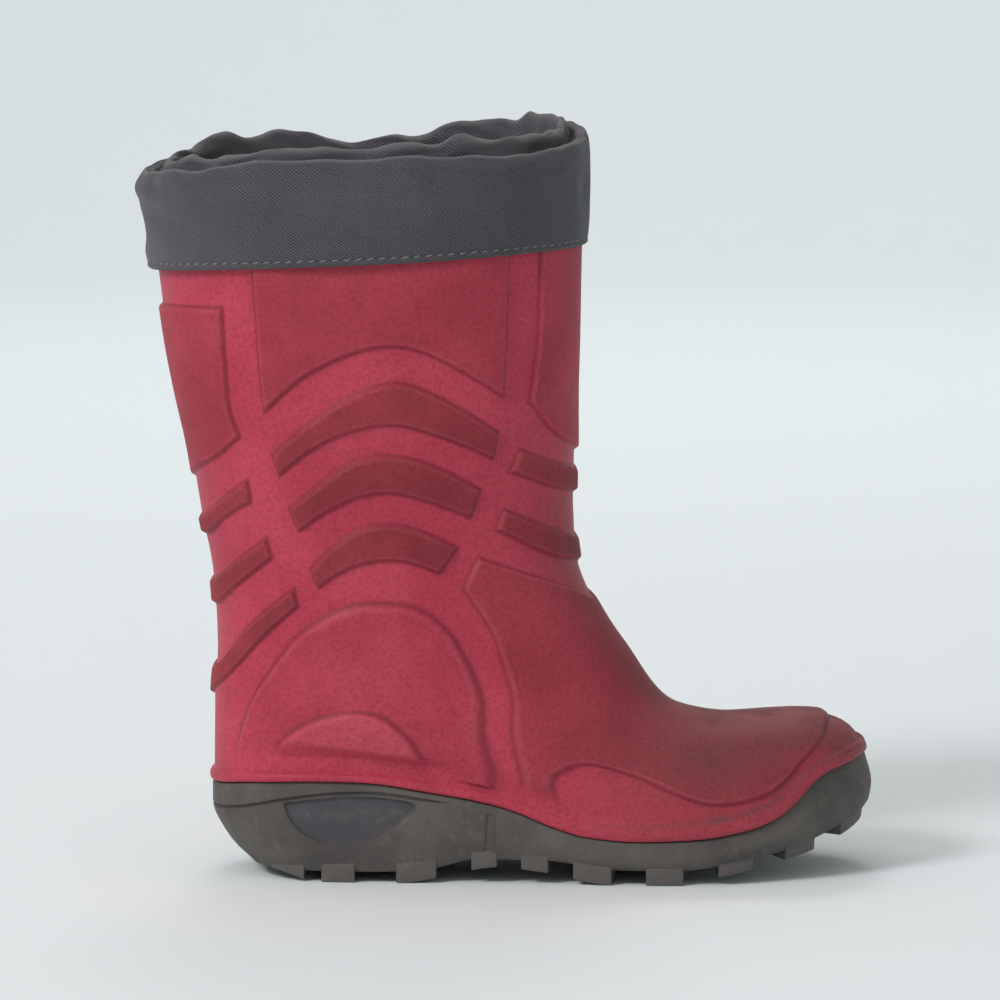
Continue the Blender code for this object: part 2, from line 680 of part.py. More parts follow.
def wall_inset(turn, drop):
    """How far the outsole's wall is set in from its outline, at a share of the way down."""
    cosine = np.cos(math.pi * turn)
    back = np.clip(-cosine, 0, 1) ** 3
    toe = np.clip(cosine, 0, 1) ** 3
    side_inset = smooth(SOLE_WALL, "side", drop)
    inset = side_inset + (smooth(SOLE_WALL, "back", drop) - side_inset) * back
    return (inset + (smooth(SOLE_WALL, "toe", drop) - side_inset) * toe) * SIDE_HEIGHT


def sole_point(turn, drop, side, lift):
    """Outer wall of the outsole, from the feather line (drop 0) to its foot (drop 1)."""
    top = lengthwise(FEATHER, outline(turn, side)[..., 0])
    foot = lengthwise(SOLE_BODY_FOOT, outline(turn, side)[..., 0])
    plan = inset_outline(turn, side, wall_inset(turn, drop) + groove(drop) - lift)
    return with_inswing(plan[..., 0], plan[..., 1], top + (foot - top) * drop)


def groove(drop):
    """Depth of the groove that runs round the outsole's wall."""
    inner = (drop > GROOVE_LEVELS[0] + 1e-6) & (drop < GROOVE_LEVELS[3] - 1e-6)
    return np.where(inner, GROOVE_DEPTH, 0.0)


# Building the objects


def sole_ring(turn, side, inset, height):
    """A row of points at an inset from the sole's outline."""
    plan = inset_outline(turn, side, inset)
    return with_inswing(plan[..., 0], plan[..., 1], height)


def row_turns():
    return np.arange(HALF_COLUMNS + 1) / HALF_COLUMNS


def closed_row(row_of):
    """Points right round, from the toe along the outer side to the heel and back inside."""
    turns = row_turns()
    outer = row_of(turns, -1)
    inner = row_of(turns, 1)
    return np.vstack([outer, inner[-2:0:-1]])


def add_row(mesh, row_of):
    return [mesh.verts.new(point) for point in closed_row(row_of)]


def join_rows(mesh, first, second):
    """A band of four-sided faces between two rows that run right round."""
    count = len(first)
    for index in range(count):
        after = (index + 1) % count
        mesh.faces.new((first[index], first[after], second[after], second[index]))


def fill_row(mesh, row):
    """Close a row with strips that run from the outer side to the inner side."""
    count = len(row)
    mesh.faces.new((row[0], row[1], row[-1]))
    for index in range(1, HALF_COLUMNS - 1):
        mesh.faces.new((row[index], row[index + 1], row[count - index - 1], row[count - index]))
    last = HALF_COLUMNS - 1
    mesh.faces.new((row[last], row[last + 1], row[count - last]))


def add_patterned_wall(mesh, pattern, point_of):
    """Both halves of a patterned skin; returns its first and its last row."""
    turn, level, lift, triangles = pattern
    outer_points = point_of(turn, level, -1, lift)
    inner_points = point_of(turn, level, 1, lift)
    outer = [mesh.verts.new(point) for point in outer_points]
    on_middle = (turn == 0) | (turn == 1)
    inner = [vert if middle else mesh.verts.new(point)
             for vert, middle, point in zip(outer, on_middle, inner_points)]
    for corners in triangles:
        mesh.faces.new([outer[corner] for corner in reversed(corners)])
        mesh.faces.new([inner[corner] for corner in corners])
    return [border_row(turn, level, border, outer, inner) for border in (0.0, level.max())]


def border_row(turn, level, border, outer, inner):
    """The vertices on the first or the last row of a patterned skin, right round."""
    on_row = np.flatnonzero(np.abs(level - border) < 1e-6)
    on_row = on_row[np.argsort(turn[on_row])]
    return [outer[index] for index in on_row] + [inner[index] for index in on_row[-2:0:-1]]


def finish_mesh(name, mesh, smooth_angle=35):
    """Turn a bmesh into an object with its faces pointing out."""
    bmesh.ops.recalc_face_normals(mesh, faces=mesh.faces)
    bmesh.ops.triangulate(mesh, faces=[face for face in mesh.faces if len(face.verts) > 3])
    if mesh.calc_volume(signed=True) < 0:
        bmesh.ops.reverse_faces(mesh, faces=mesh.faces)
    data = bpy.data.meshes.new(name)
    mesh.to_mesh(data)
    mesh.free()
    data.shade_smooth()
    data.set_sharp_from_angle(angle=math.radians(smooth_angle))
    made = bpy.data.objects.new(name, data)
    bpy.context.scene.collection.objects.link(made)
    return made


def build_upper():
    """The moulded upper: foot and shaft in one, open at the collar and underneath."""
    mesh = bmesh.new()
    levels = (0.0, LIP_TOP, LIP_FADE, 1.0)
    pattern = half_pattern(UPPER_RELIEFS, UPPER_SHEET, levels, UPPER_SPACING, OUTLINE_SPACING)
    foot_row, top_row = add_patterned_wall(mesh, pattern, upper_point)

    def bottom(turn, side):
        x = outline(turn, side)[..., 0]
        return sole_ring(turn, side, upper_inset(turn) + WALL, lengthwise(FEATHER, x))

    rows = [foot_row, add_row(mesh, bottom)]
    for step in range(1, INNER_ROWS + 1):
        level = (step / INNER_ROWS) ** 0.9
        rows.append(add_row(mesh, lambda turn, side: skin_at(turn, level, side, -WALL)))
    rows.append(top_row)
    for first, second in zip(rows, rows[1:]):
        join_rows(mesh, first, second)
    return finish_mesh("upper", mesh)


def rim_inset(turn):
    """Width of the outsole's rim, on which the upper's wall stands."""
    return upper_inset(turn) + WALL + SEAT_GAP


def build_outsole():
    """The cup sole: a rim under the upper, the footbed inside it, and lugs below."""
    mesh = bmesh.new()
    levels = (0.0,) + GROOVE_LEVELS + (1.0,)
    pattern = half_pattern(SOLE_RELIEFS, SOLE_SHEET, levels, SOLE_SPACING, OUTLINE_SPACING)

    def wall(turn, drop, side, lift):
        return sole_point(turn, drop, side, lift) - np.array([0, 0, SEAT_GAP]) * (1 - drop[..., None])

    top_row, foot_row = add_patterned_wall(mesh, pattern, wall)

    def rim(turn, side):
        height = lengthwise(FEATHER, outline(turn, side)[..., 0]) - SEAT_GAP
        return sole_ring(turn, side, rim_inset(turn), height)

    def bed(turn, side):
        return sole_ring(turn, side, rim_inset(turn), footbed_height(turn, side))

    rim_row, bed_row = add_row(mesh, rim), add_row(mesh, bed)
    join_rows(mesh, top_row, rim_row)
    join_rows(mesh, rim_row, bed_row)
    fill_row(mesh, bed_row)
    fill_row(mesh, foot_row)
    body = finish_mesh("outsole", mesh)
    union = body.modifiers.new("lugs", "BOOLEAN")
    union.operation = "UNION"
    union.solver = "EXACT"
    union.use_self = True
    union.object = build_lugs()
    return body


def footbed_height(turn, side):
    return lengthwise(FOOTBED, outline(turn, side)[..., 0])


def turn_at(x):
    """The turn of the outline's point at x."""
    middle = FOOT_MIDDLE * SOLE_LENGTH
    reach = SOLE_LENGTH - middle if x > middle else middle
    return math.acos(max(-1.0, min(1.0, (x - middle) / reach))) / math.pi


def lug_columns(turns, side, depth):
    """Four corners of an edge lug's section at each turn: outside and inside, top and bottom."""
    along = outline(turns, side)[..., 0]
    inset = wall_inset(turns, np.ones(len(turns))) - LUG_PROUD
    top = lengthwise(SOLE_BODY_FOOT, along) + LUG_SHELF
    bottom = lengthwise(TREAD_RISE, along)
    return [
        sole_ring(turns, side, inset, top),
        sole_ring(turns, side, inset + LUG_TAPER, bottom),
        sole_ring(turns, side, inset + depth, bottom),
        sole_ring(turns, side, inset + depth - 2 * LUG_TAPER, top),
    ]


def add_bar(mesh, lines):
    """A closed bar through four lines of points, one for each of its edges."""
    rows = [[mesh.verts.new(point) for point in line] for line in lines]
    for first, second in zip(rows, rows[1:] + rows[:1]):
        for step in range(len(first) - 1):
            mesh.faces.new((first[step], first[step + 1], second[step + 1], second[step]))
    for end in (0, -1):
        mesh.faces.new([row[end] for row in rows])


def add_end_lug(mesh, turn):
    """A lug that wraps the toe (turn near 0) or the heel (turn near 1)."""
    end = 0.0 if turn < 0.5 else 1.0
    outer = lug_columns(np.array([turn, (turn + end) / 2, end]), -1, END_LUG_DEPTH)
    inner = lug_columns(np.array([(turn + end) / 2, turn]), 1, END_LUG_DEPTH)
    add_bar(mesh, [np.vstack(pair) for pair in zip(outer, inner)])


def add_centre_lug(mesh, lug):
    """A cross bar in the middle of the tread."""
    lines = []
    for x in (lug.heel_end * SOLE_LENGTH, lug.toe_end * SOLE_LENGTH):
        top = lengthwise(SOLE_BODY_FOOT, x) + LUG_SHELF / 2
        bottom = lengthwise(TREAD_RISE, x)
        for height in (top, bottom):
            reach = CENTRE_LUG_REACH * BALL_WIDTH
            lines.append(np.array([[x, inswing(x) + side * reach, height] for side in (-1, 1)]))
    add_bar(mesh, [lines[0], lines[1], lines[3], lines[2]])


def build_lugs():
    """All lugs as one mesh, which the outsole's body is joined with."""
    mesh = bmesh.new()
    for lug in EDGE_LUGS:
        turns = np.linspace(turn_at(lug.heel_end * SOLE_LENGTH), turn_at(lug.toe_end * SOLE_LENGTH), 3)
        for side in (-1, 1):
            add_bar(mesh, lug_columns(turns, side, LUG_DEPTH))
    for lug in CENTRE_LUGS:
        add_centre_lug(mesh, lug)
    add_end_lug(mesh, TOE_LUG_TURN)
    add_end_lug(mesh, HEEL_LUG_TURN)
    lugs = finish_mesh("lug_shapes", mesh)
    lugs.hide_render = True
    lugs.display_type = "WIRE"
    return lugs


def build_insole():
    """The footbed's removable sheet."""
    mesh = bmesh.new()

    def row(inset, lift):
        return add_row(mesh, lambda turn, side: sole_ring(
            turn, side, rim_inset(turn) + inset, footbed_height(turn, side) + lift))

    rows = [
        row(SEAT_GAP, SEAT_GAP),
        row(SEAT_GAP, SEAT_GAP + 0.7 * INSOLE_THICKNESS),
        row(SEAT_GAP + 0.3 * INSOLE_THICKNESS, SEAT_GAP + INSOLE_THICKNESS),
    ]
    for first, second in zip(rows, rows[1:]):
        join_rows(mesh, first, second)
    fill_row(mesh, rows[0])
    fill_row(mesh, rows[-1])
    return finish_mesh("insole", mesh)


def cuff_point(turn, side, fold):
    """A point of the cuff's section; above the shaft's top edge the skin runs straight up."""
    along = (1 + np.cos(math.pi * turn)) / 2
    hem = smooth(CUFF_LINES, "hem", along)
    point = skin_at(turn, hem + (1 - hem) * min(fold.up, 1.0), side, fold.out)
    if fold.up >= 1:
        point[..., 2] += SEAT_GAP + (fold.up - 1) * CUFF_RISE * smooth(CUFF_LINES, "rim", along)
    return point


def build_cuff():
    """The cloth cuff, folded over the shaft's top edge."""
    mesh = bmesh.new()
    rows = [add_row(mesh, lambda turn, side: cuff_point(turn, side, fold)) for fold in CUFF_FOLD]
    for first, second in zip(rows, rows[1:] + rows[:1]):
        join_rows(mesh, first, second)
    return finish_mesh("cuff", mesh)


def give_material(made, name, colour, roughness):
    """A plain material with the colour and roughness of the real one."""
    material = bpy.data.materials.new(name)
    material.use_nodes = True
    surface = material.node_tree.nodes["Principled BSDF"]
    surface.inputs["Base Color"].default_value = (*colour, 1)
    surface.inputs["Roughness"].default_value = roughness
    surface.inputs["Metallic"].default_value = 0.0
    made.data.materials.append(material)


def centre_on_floor(objects):
    """Move the whole boot so that its box is centred on the origin."""
    corners = np.array([vert.co for made in objects for vert in made.data.vertices])
    middle = (corners.min(axis=0) + corners.max(axis=0)) / 2
    for made in objects:
        for vert in made.data.vertices:
            vert.co.x -= middle[0]
            vert.co.y -= middle[1]


def build_boot():
    for old in list(bpy.data.objects):
        bpy.data.objects.remove(old, do_unlink=True)
    upper, outsole, insole, cuff = build_upper(), build_outsole(), build_insole(), build_cuff()
    give_material(upper, "red_foam", (0.32, 0.05, 0.068), 0.55)
    give_material(outsole, "grey_rubber", (0.085, 0.078, 0.078), 0.7)
    give_material(insole, "grey_felt", (0.12, 0.12, 0.13), 0.9)
    give_material(cuff, "charcoal_twill", (0.06, 0.055, 0.065), 0.85)
    centre_on_floor([upper, outsole, insole, cuff, outsole.modifiers["lugs"].object])


build_boot()
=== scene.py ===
"""Looks of a child's right winter boot: a moulded red foam upper on a grey rubber lug sole, with a
charcoal twill cuff sewn round the top of its shaft. The toe points along +X, and metres are used.
"""
import math
from collections import namedtuple

import bmesh
import bpy
import numpy as np
from mathutils.geometry import delaunay_2d_cdt
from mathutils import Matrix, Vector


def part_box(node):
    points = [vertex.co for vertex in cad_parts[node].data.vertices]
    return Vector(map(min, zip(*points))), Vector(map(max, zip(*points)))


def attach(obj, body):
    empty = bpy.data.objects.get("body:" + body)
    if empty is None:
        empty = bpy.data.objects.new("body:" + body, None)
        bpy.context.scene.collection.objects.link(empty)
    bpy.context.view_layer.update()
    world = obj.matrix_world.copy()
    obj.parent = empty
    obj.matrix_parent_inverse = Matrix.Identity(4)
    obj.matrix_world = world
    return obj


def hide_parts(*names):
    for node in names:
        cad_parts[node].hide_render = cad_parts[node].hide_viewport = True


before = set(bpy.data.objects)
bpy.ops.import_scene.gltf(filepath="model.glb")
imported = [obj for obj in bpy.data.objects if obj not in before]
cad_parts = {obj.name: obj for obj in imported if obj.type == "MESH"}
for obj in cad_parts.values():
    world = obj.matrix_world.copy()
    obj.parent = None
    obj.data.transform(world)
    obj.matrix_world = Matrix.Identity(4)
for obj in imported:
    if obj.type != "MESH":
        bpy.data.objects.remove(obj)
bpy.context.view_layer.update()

# Outsole: one moulded piece of grey rubber that cups the foot of the upper. Its wall has a parting
# groove, a smooth window on each side of the heel and a step at the waist, and blocky lugs stand
# out below it.
SOLE_LENGTH = 0.207
BALL_WIDTH = 0.081
SIDE_HEIGHT = 0.032
SHAFT_WIDTH = 0.094
SHAFT_HEIGHT = 0.212
WALL = 0.0032
UPPER_INSET = 0.0006
TOE_BUMPER = 0.0022
TOE_INSWING = 0.007
SEAT_GAP = 0.0003
HEEL_X = float(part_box("outsole")[0][0])
MIDDLE_Y = float(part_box("cuff")[0][1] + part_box("cuff")[1][1]) / 2
HEEL_ORIGIN = np.array([HEEL_X, MIDDLE_Y, 0.0])

Width = namedtuple("Width", "along lateral medial")
Height = namedtuple("Height", "along up")
Spot = namedtuple("Spot", "turn level")
Sheet = namedtuple("Sheet", "width height")
Relief = namedtuple("Relief", "height edge tone sides")
Wall = namedtuple("Wall", "drop back side toe")
Lug = namedtuple("Lug", "heel_end toe_end")
Edge = namedtuple("Edge", "inset share")
Shell = namedtuple("Shell", "points faces looks")

SOLE_WIDTHS = (
    Width(0.00, 0.415, 0.400),
    Width(0.16, 0.425, 0.405),
    Width(0.36, 0.430, 0.345),
    Width(0.50, 0.455, 0.345),
    Width(0.66, 0.505, 0.490),
    Width(0.80, 0.520, 0.505),
    Width(1.00, 0.520, 0.500),
)
HEEL_ROUND = 0.165
TOE_ROUND = 0.300
HEEL_FULLNESS = 2.25
TOE_FULLNESS = 2.2
FOOT_MIDDLE = 0.40

# The line where upper and outsole meet, as shares of the side height
FEATHER = (
    Height(0.000, 0.895),
    Height(0.065, 0.970),
    Height(0.160, 1.000),
    Height(0.230, 0.988),
    Height(0.330, 0.895),
    Height(0.410, 0.800),
    Height(0.455, 0.722),
    Height(0.510, 0.575),
    Height(0.565, 0.475),
    Height(0.640, 0.438),
    Height(0.720, 0.455),
    Height(0.800, 0.530),
    Height(0.850, 0.640),
    Height(0.880, 0.790),
    Height(0.905, 0.960),
    Height(0.930, 1.050),
    Height(0.965, 1.110),
    Height(1.000, 1.170),
)
FOOTBED = (
    Height(0.00, 0.690),
    Height(0.28, 0.680),
    Height(0.45, 0.500),
    Height(0.62, 0.300),
    Height(0.76, 0.330),
    Height(0.88, 0.480),
    Height(0.95, 0.640),
    Height(1.00, 0.760),
)
SOLE_BODY_FOOT = (
    Height(0.00, 0.110),
    Height(0.26, 0.110),
    Height(0.33, 0.140),
    Height(0.40, 0.240),
    Height(0.50, 0.235),
    Height(0.60, 0.150),
    Height(0.70, 0.145),
    Height(0.80, 0.225),
    Height(0.88, 0.330),
    Height(0.95, 0.470),
    Height(1.00, 0.560),
)
TREAD_RISE = (
    Height(0.00, 0.130),
    Height(0.10, 0.080),
    Height(0.16, 0.000),
    Height(0.29, 0.000),
    Height(0.34, 0.050),
    Height(0.43, 0.160),
    Height(0.50, 0.115),
    Height(0.60, 0.000),
    Height(0.715, 0.000),
    Height(0.76, 0.070),
    Height(0.86, 0.200),
    Height(0.92, 0.300),
    Height(1.00, 0.480),
)
SOLE_WALL = (
    Wall(0.00, 0.000, 0.000, 0.085),
    Wall(0.25, 0.000, 0.000, 0.040),
    Wall(0.36, 0.010, 0.000, 0.020),
    Wall(0.55, 0.080, 0.000, 0.000),
    Wall(0.80, 0.215, 0.015, 0.020),
    Wall(0.92, 0.320, 0.035, 0.060),
    Wall(1.00, 0.390, 0.055, 0.110),
)
HEEL_WINDOW = Relief(-0.0010, 0.0005, 1.0, (
    (Spot(0.756, 0.228), Spot(0.745, 0.420), Spot(0.720, 0.590), Spot(0.678, 0.690),
     Spot(0.636, 0.630), Spot(0.600, 0.460), Spot(0.578, 0.290), Spot(0.572, 0.190)),
    (Spot(0.582, 0.145), Spot(0.629, 0.142), Spot(0.689, 0.174)),
))
PARTING_GROOVE = Relief(-0.0008, 0.00025, 0.0, (
    (Spot(1.000, 0.316), Spot(0.850, 0.298), Spot(0.754, 0.208), Spot(0.689, 0.153),
     Spot(0.629, 0.122), Spot(0.570, 0.116)),
    (Spot(0.530, 0.098), Spot(0.570, 0.080), Spot(0.629, 0.086), Spot(0.689, 0.117),
     Spot(0.754, 0.172), Spot(0.850, 0.262), Spot(1.000, 0.280)),
))
WAIST_STEP = Relief(-0.0004, 0.0004, 0.0, (
    (Spot(0.492, 0.160),),
    (Spot(0.494, 0.900),),
    (Spot(0.487, 0.900),),
    (Spot(0.485, 0.160),),
))
SOLE_RELIEFS = (HEEL_WINDOW, PARTING_GROOVE, WAIST_STEP)
EDGE_LUGS = (
    Lug(0.075, 0.140),
    Lug(0.168, 0.218),
    Lug(0.280, 0.340),
    Lug(0.392, 0.430),
    Lug(0.466, 0.506),
    Lug(0.543, 0.600),
    Lug(0.652, 0.708),
    Lug(0.762, 0.815),
    Lug(0.866, 0.913),
)
CENTRE_LUGS = (
    Lug(0.115, 0.150),
    Lug(0.215, 0.262),
    Lug(0.570, 0.612),
    Lug(0.668, 0.712),
    Lug(0.770, 0.812),
)
TOP_EDGE_ROUNDING = 0.0007
LUG_DEPTH = 0.012
LUG_PROUD = 0.0010
LUG_SHELF = 0.0028
LUG_TAPER = 0.0006
LUG_ROUNDING = 0.0005
END_LUG_DEPTH = 0.010
CENTRE_LUG_REACH = 0.19
TOE_LUG_TURN = 0.12
HEEL_LUG_TURN = 0.90

# Width and height of the flat work planes on which half of a moulded wall is drawn
SOLE_SHEET = Sheet(1.15 * SOLE_LENGTH, 0.75 * SIDE_HEIGHT)
UPPER_SHEET = Sheet(0.9 * SOLE_LENGTH, SHAFT_HEIGHT)

# Columns of mesh along half of a wall, and the lines that round the edge of a relief
WALL_COLUMNS = 84
EDGE_PROFILE = (
    Edge(-0.80, 0.00),
    Edge(-0.40, 0.00),
    Edge(0.00, 0.07),
    Edge(0.35, 0.40),
    Edge(0.70, 0.82),
    Edge(1.05, 0.98),
    Edge(1.60, 1.00),
)
GUARD_INSETS = (-0.80, 0.00, 0.70, 1.60)
SOLE_SPACING = 0.0021
SOLE_LINE_SPACING = 0.0013
UPPER_SPACING = 0.0023
UPPER_LINE_SPACING = 0.0014


def between(t, step, start, end, leave, arrive):
    """Point at a share t of a curve step with given ends and slopes."""
    return (
        (2 * t**3 - 3 * t**2 + 1) * start
        + (t**3 - 2 * t**2 + t) * step * leave
        + (3 * t**2 - 2 * t**3) * end
        + (t**3 - t**2) * step * arrive
    )


def through(t, before, start, end, after):
    """Point at a share t from start to end, on a curve through four points."""
    return 0.5 * (2 * start + (end - before) * t
                  + (2 * before - 5 * start + 4 * end - after) * t**2
                  + (3 * start - before - 3 * end + after) * t**3)


def smooth(rows, column, share):
    """Read a column of a table at a share, on a smooth curve that doesn't overshoot."""
    at = np.array([row[0] for row in rows])
    value = np.array([getattr(row, column) for row in rows])
    step = np.diff(at)
    slope = np.diff(value) / step
    tangent = np.zeros(len(at))
    same_way = slope[:-1] * slope[1:] > 0
    mean = 2 * slope[:-1] * slope[1:] / np.where(same_way, slope[:-1] + slope[1:], 1)
    tangent[1:-1] = np.where(same_way, mean, 0)
    tangent[0], tangent[-1] = slope[0], slope[-1]
    share = np.clip(share, at[0], at[-1])
    row = np.clip(np.searchsorted(at, share, side="right") - 1, 0, len(step) - 1)
    t = (share - at[row]) / step[row]
    return between(t, step[row], value[row], value[row + 1], tangent[row], tangent[row + 1])


def bell(distance):
    """A soft bump of height 1 at distance 0, gone by distance 1."""
    return np.clip(1 - np.asarray(distance) ** 2, 0, 1) ** 2


def inswing(x):
    """Shift of the middle line towards the inner side, which makes this a right boot."""
    forward = np.clip(x / SOLE_LENGTH - 0.45, 0, None) / 0.55
    return TOE_INSWING * forward**2


def half_width(x, side):
    """Half width of the sole's outline at x, for side -1 (outer) or +1 (inner)."""
    share = np.clip(x / SOLE_LENGTH, 0, 1)
    width = smooth(SOLE_WIDTHS, "lateral" if side < 0 else "medial", share) * BALL_WIDTH
    heel = np.clip(1 - share / HEEL_ROUND, 0, 1)
    toe = np.clip(1 - (1 - share) / TOE_ROUND, 0, 1)
    heel_end = (1 - heel**HEEL_FULLNESS) ** (1 / HEEL_FULLNESS)
    toe_end = (1 - toe**TOE_FULLNESS) ** (1 / TOE_FULLNESS)
    return width * heel_end * toe_end


def outline(turn, side):
    """Point of the sole's outline, with turn 0 at the toe and 1 at the heel."""
    cosine = np.cos(math.pi * turn)
    middle = FOOT_MIDDLE * SOLE_LENGTH
    x = middle + np.where(cosine > 0, SOLE_LENGTH - middle, middle) * cosine
    return np.stack([x, side * half_width(x, side)], axis=-1)


def inset_outline(turn, side, inset):
    """The sole's outline moved inwards by inset, before the inswing."""
    step = 0.002
    along = outline(np.clip(turn + step, 0, 1), side) - outline(np.clip(turn - step, 0, 1), side)
    along /= np.linalg.norm(along, axis=-1, keepdims=True)
    inward = side * np.stack([-along[..., 1], along[..., 0]], axis=-1)
    on_middle = (turn < 1e-6) | (turn > 1 - 1e-6)
    inward[..., 0] = np.where(on_middle, np.where(turn < 0.5, -1.0, 1.0), inward[..., 0])
    inward[..., 1] = np.where(on_middle, 0.0, inward[..., 1])
    moved = outline(turn, side) + inward * np.asarray(inset)[..., None]
    moved[..., 1] = side * np.maximum(side * moved[..., 1], 0)
    return moved


def upper_inset(turn):
    """How far the upper's foot line is set in from the sole's outline."""
    return UPPER_INSET + TOE_BUMPER * np.clip(1 - 3 * turn, 0, 1) ** 2


def rim_inset(turn):
    """Width of the outsole's rim, on which the upper's wall stands."""
    return upper_inset(turn) + WALL + SEAT_GAP


def lengthwise(rows, x):
    """Height above the floor that a table gives at x."""
    return smooth(rows, "up", x / SOLE_LENGTH) * SIDE_HEIGHT


def with_inswing(x, y, z):
    return np.stack([x, y + inswing(x), z], axis=-1)


def sole_ring(turn, side, inset, height):
    """A row of points at an inset from the sole's outline."""
    plan = inset_outline(turn, side, inset)
    return with_inswing(plan[..., 0], plan[..., 1], height)


def flat_spot(spot, sheet):
    return np.array([spot.turn * sheet.width, spot.level * sheet.height])


def rounded_line(points, spacing):
    """A smooth line through points, cut into even steps; its last point is left out."""
    points = np.array(points)
    if len(points) == 2:
        count = max(1, round(np.linalg.norm(points[1] - points[0]) / spacing))
        return points[0] + (points[1] - points[0]) * np.arange(count)[:, None] / count
    padded = np.vstack([2 * points[0] - points[1], points, 2 * points[-1] - points[-2]])
    fine = []
    for before, start, end, after in zip(padded, padded[1:], padded[2:], padded[3:]):
        t = np.linspace(0, 1, 16, endpoint=False)[:, None]
        fine.append(through(t, before, start, end, after))
    fine = np.vstack(fine + [points[-1:]])
    length = np.concatenate([[0], np.cumsum(np.linalg.norm(np.diff(fine, axis=0), axis=1))])
    count = max(2, round(length[-1] / spacing))
    even = np.linspace(0, length[-1], count, endpoint=False)
    return np.stack([np.interp(even, length, fine[:, axis]) for axis in (0, 1)], axis=-1)


def crosses_middle(relief):
    first, last = relief.sides[0][0], relief.sides[-1][-1]
    return first.turn == last.turn and first.turn in (0.0, 1.0)


def relief_line(relief, sheet, spacing):
    """The foot line of a relief on the work plane."""
    open_ended = crosses_middle(relief)
    line = []
    for index, side in enumerate(relief.sides):
        points = [flat_spot(spot, sheet) for spot in side]
        last_side = index + 1 == len(relief.sides)
        if not last_side:
            points.append(flat_spot(relief.sides[index + 1][0], sheet))
        elif not open_ended:
            points.append(flat_spot(relief.sides[0][0], sheet))
        if len(points) > 1:
            line.append(rounded_line(points, spacing))
        if last_side and open_ended:
            line.append(points[-1][None])
    return np.vstack(line)


def inset_line(line, open_ended, inset):
    """A line moved inwards by inset; the ends of an open one slide along the middle line."""
    ahead = np.roll(line, -1, axis=0) - line
    ahead /= np.linalg.norm(ahead, axis=1, keepdims=True)
    area = np.sum(line[:, 0] * np.roll(line[:, 1], -1) - np.roll(line[:, 0], -1) * line[:, 1])
    normal = (1 if area > 0 else -1) * np.stack([-ahead[:, 1], ahead[:, 0]], axis=1)
    both = normal + np.roll(normal, 1, axis=0)
    both /= np.maximum(np.linalg.norm(both, axis=1, keepdims=True), 1e-9)
    stretch = 1 / np.maximum(np.sum(both * normal, axis=1, keepdims=True), 0.55)
    moved = line + both * stretch * inset
    if open_ended:
        middle = (line[0] + line[-1]) / 2
        for end in (0, -1):
            moved[end] = line[end] + [0, inset * np.sign(middle[1] - line[end][1])]
    if inset == 0:
        return moved
    clear = distance_to(moved, [(line, open_ended)]) > 0.93 * abs(inset)
    if open_ended:
        clear[[0, -1]] = True
    return moved[clear]


def inside(points, line):
    """Whether each point lies inside a closed line."""
    found = np.zeros(len(points), bool)
    for start, end in zip(line, np.roll(line, -1, axis=0)):
        spans = (start[1] > points[:, 1]) != (end[1] > points[:, 1])
        with np.errstate(divide="ignore", invalid="ignore"):
            cross = start[0] + (points[:, 1] - start[1]) * (end[0] - start[0]) / (end[1] - start[1])
        found ^= spans & (points[:, 0] < cross)
    return found


NEAR = 0.006


def distance_to(points, lines):
    """Shortest distance from each point to any of the lines, each with its closing flag."""
    best = np.full(len(points), np.inf)
    for line, open_ended in lines:
        ends = line[1:] if open_ended else np.roll(line, -1, axis=0)
        for start, end in zip(line, ends):
            way = end - start
            near = np.abs(points - start).max(axis=1) < NEAR
            apart = points[near] - start
            t = np.clip(apart @ way / max(way @ way, 1e-12), 0, 1)
            best[near] = np.minimum(best[near], np.linalg.norm(apart - t[:, None] * way, axis=1))
    return best


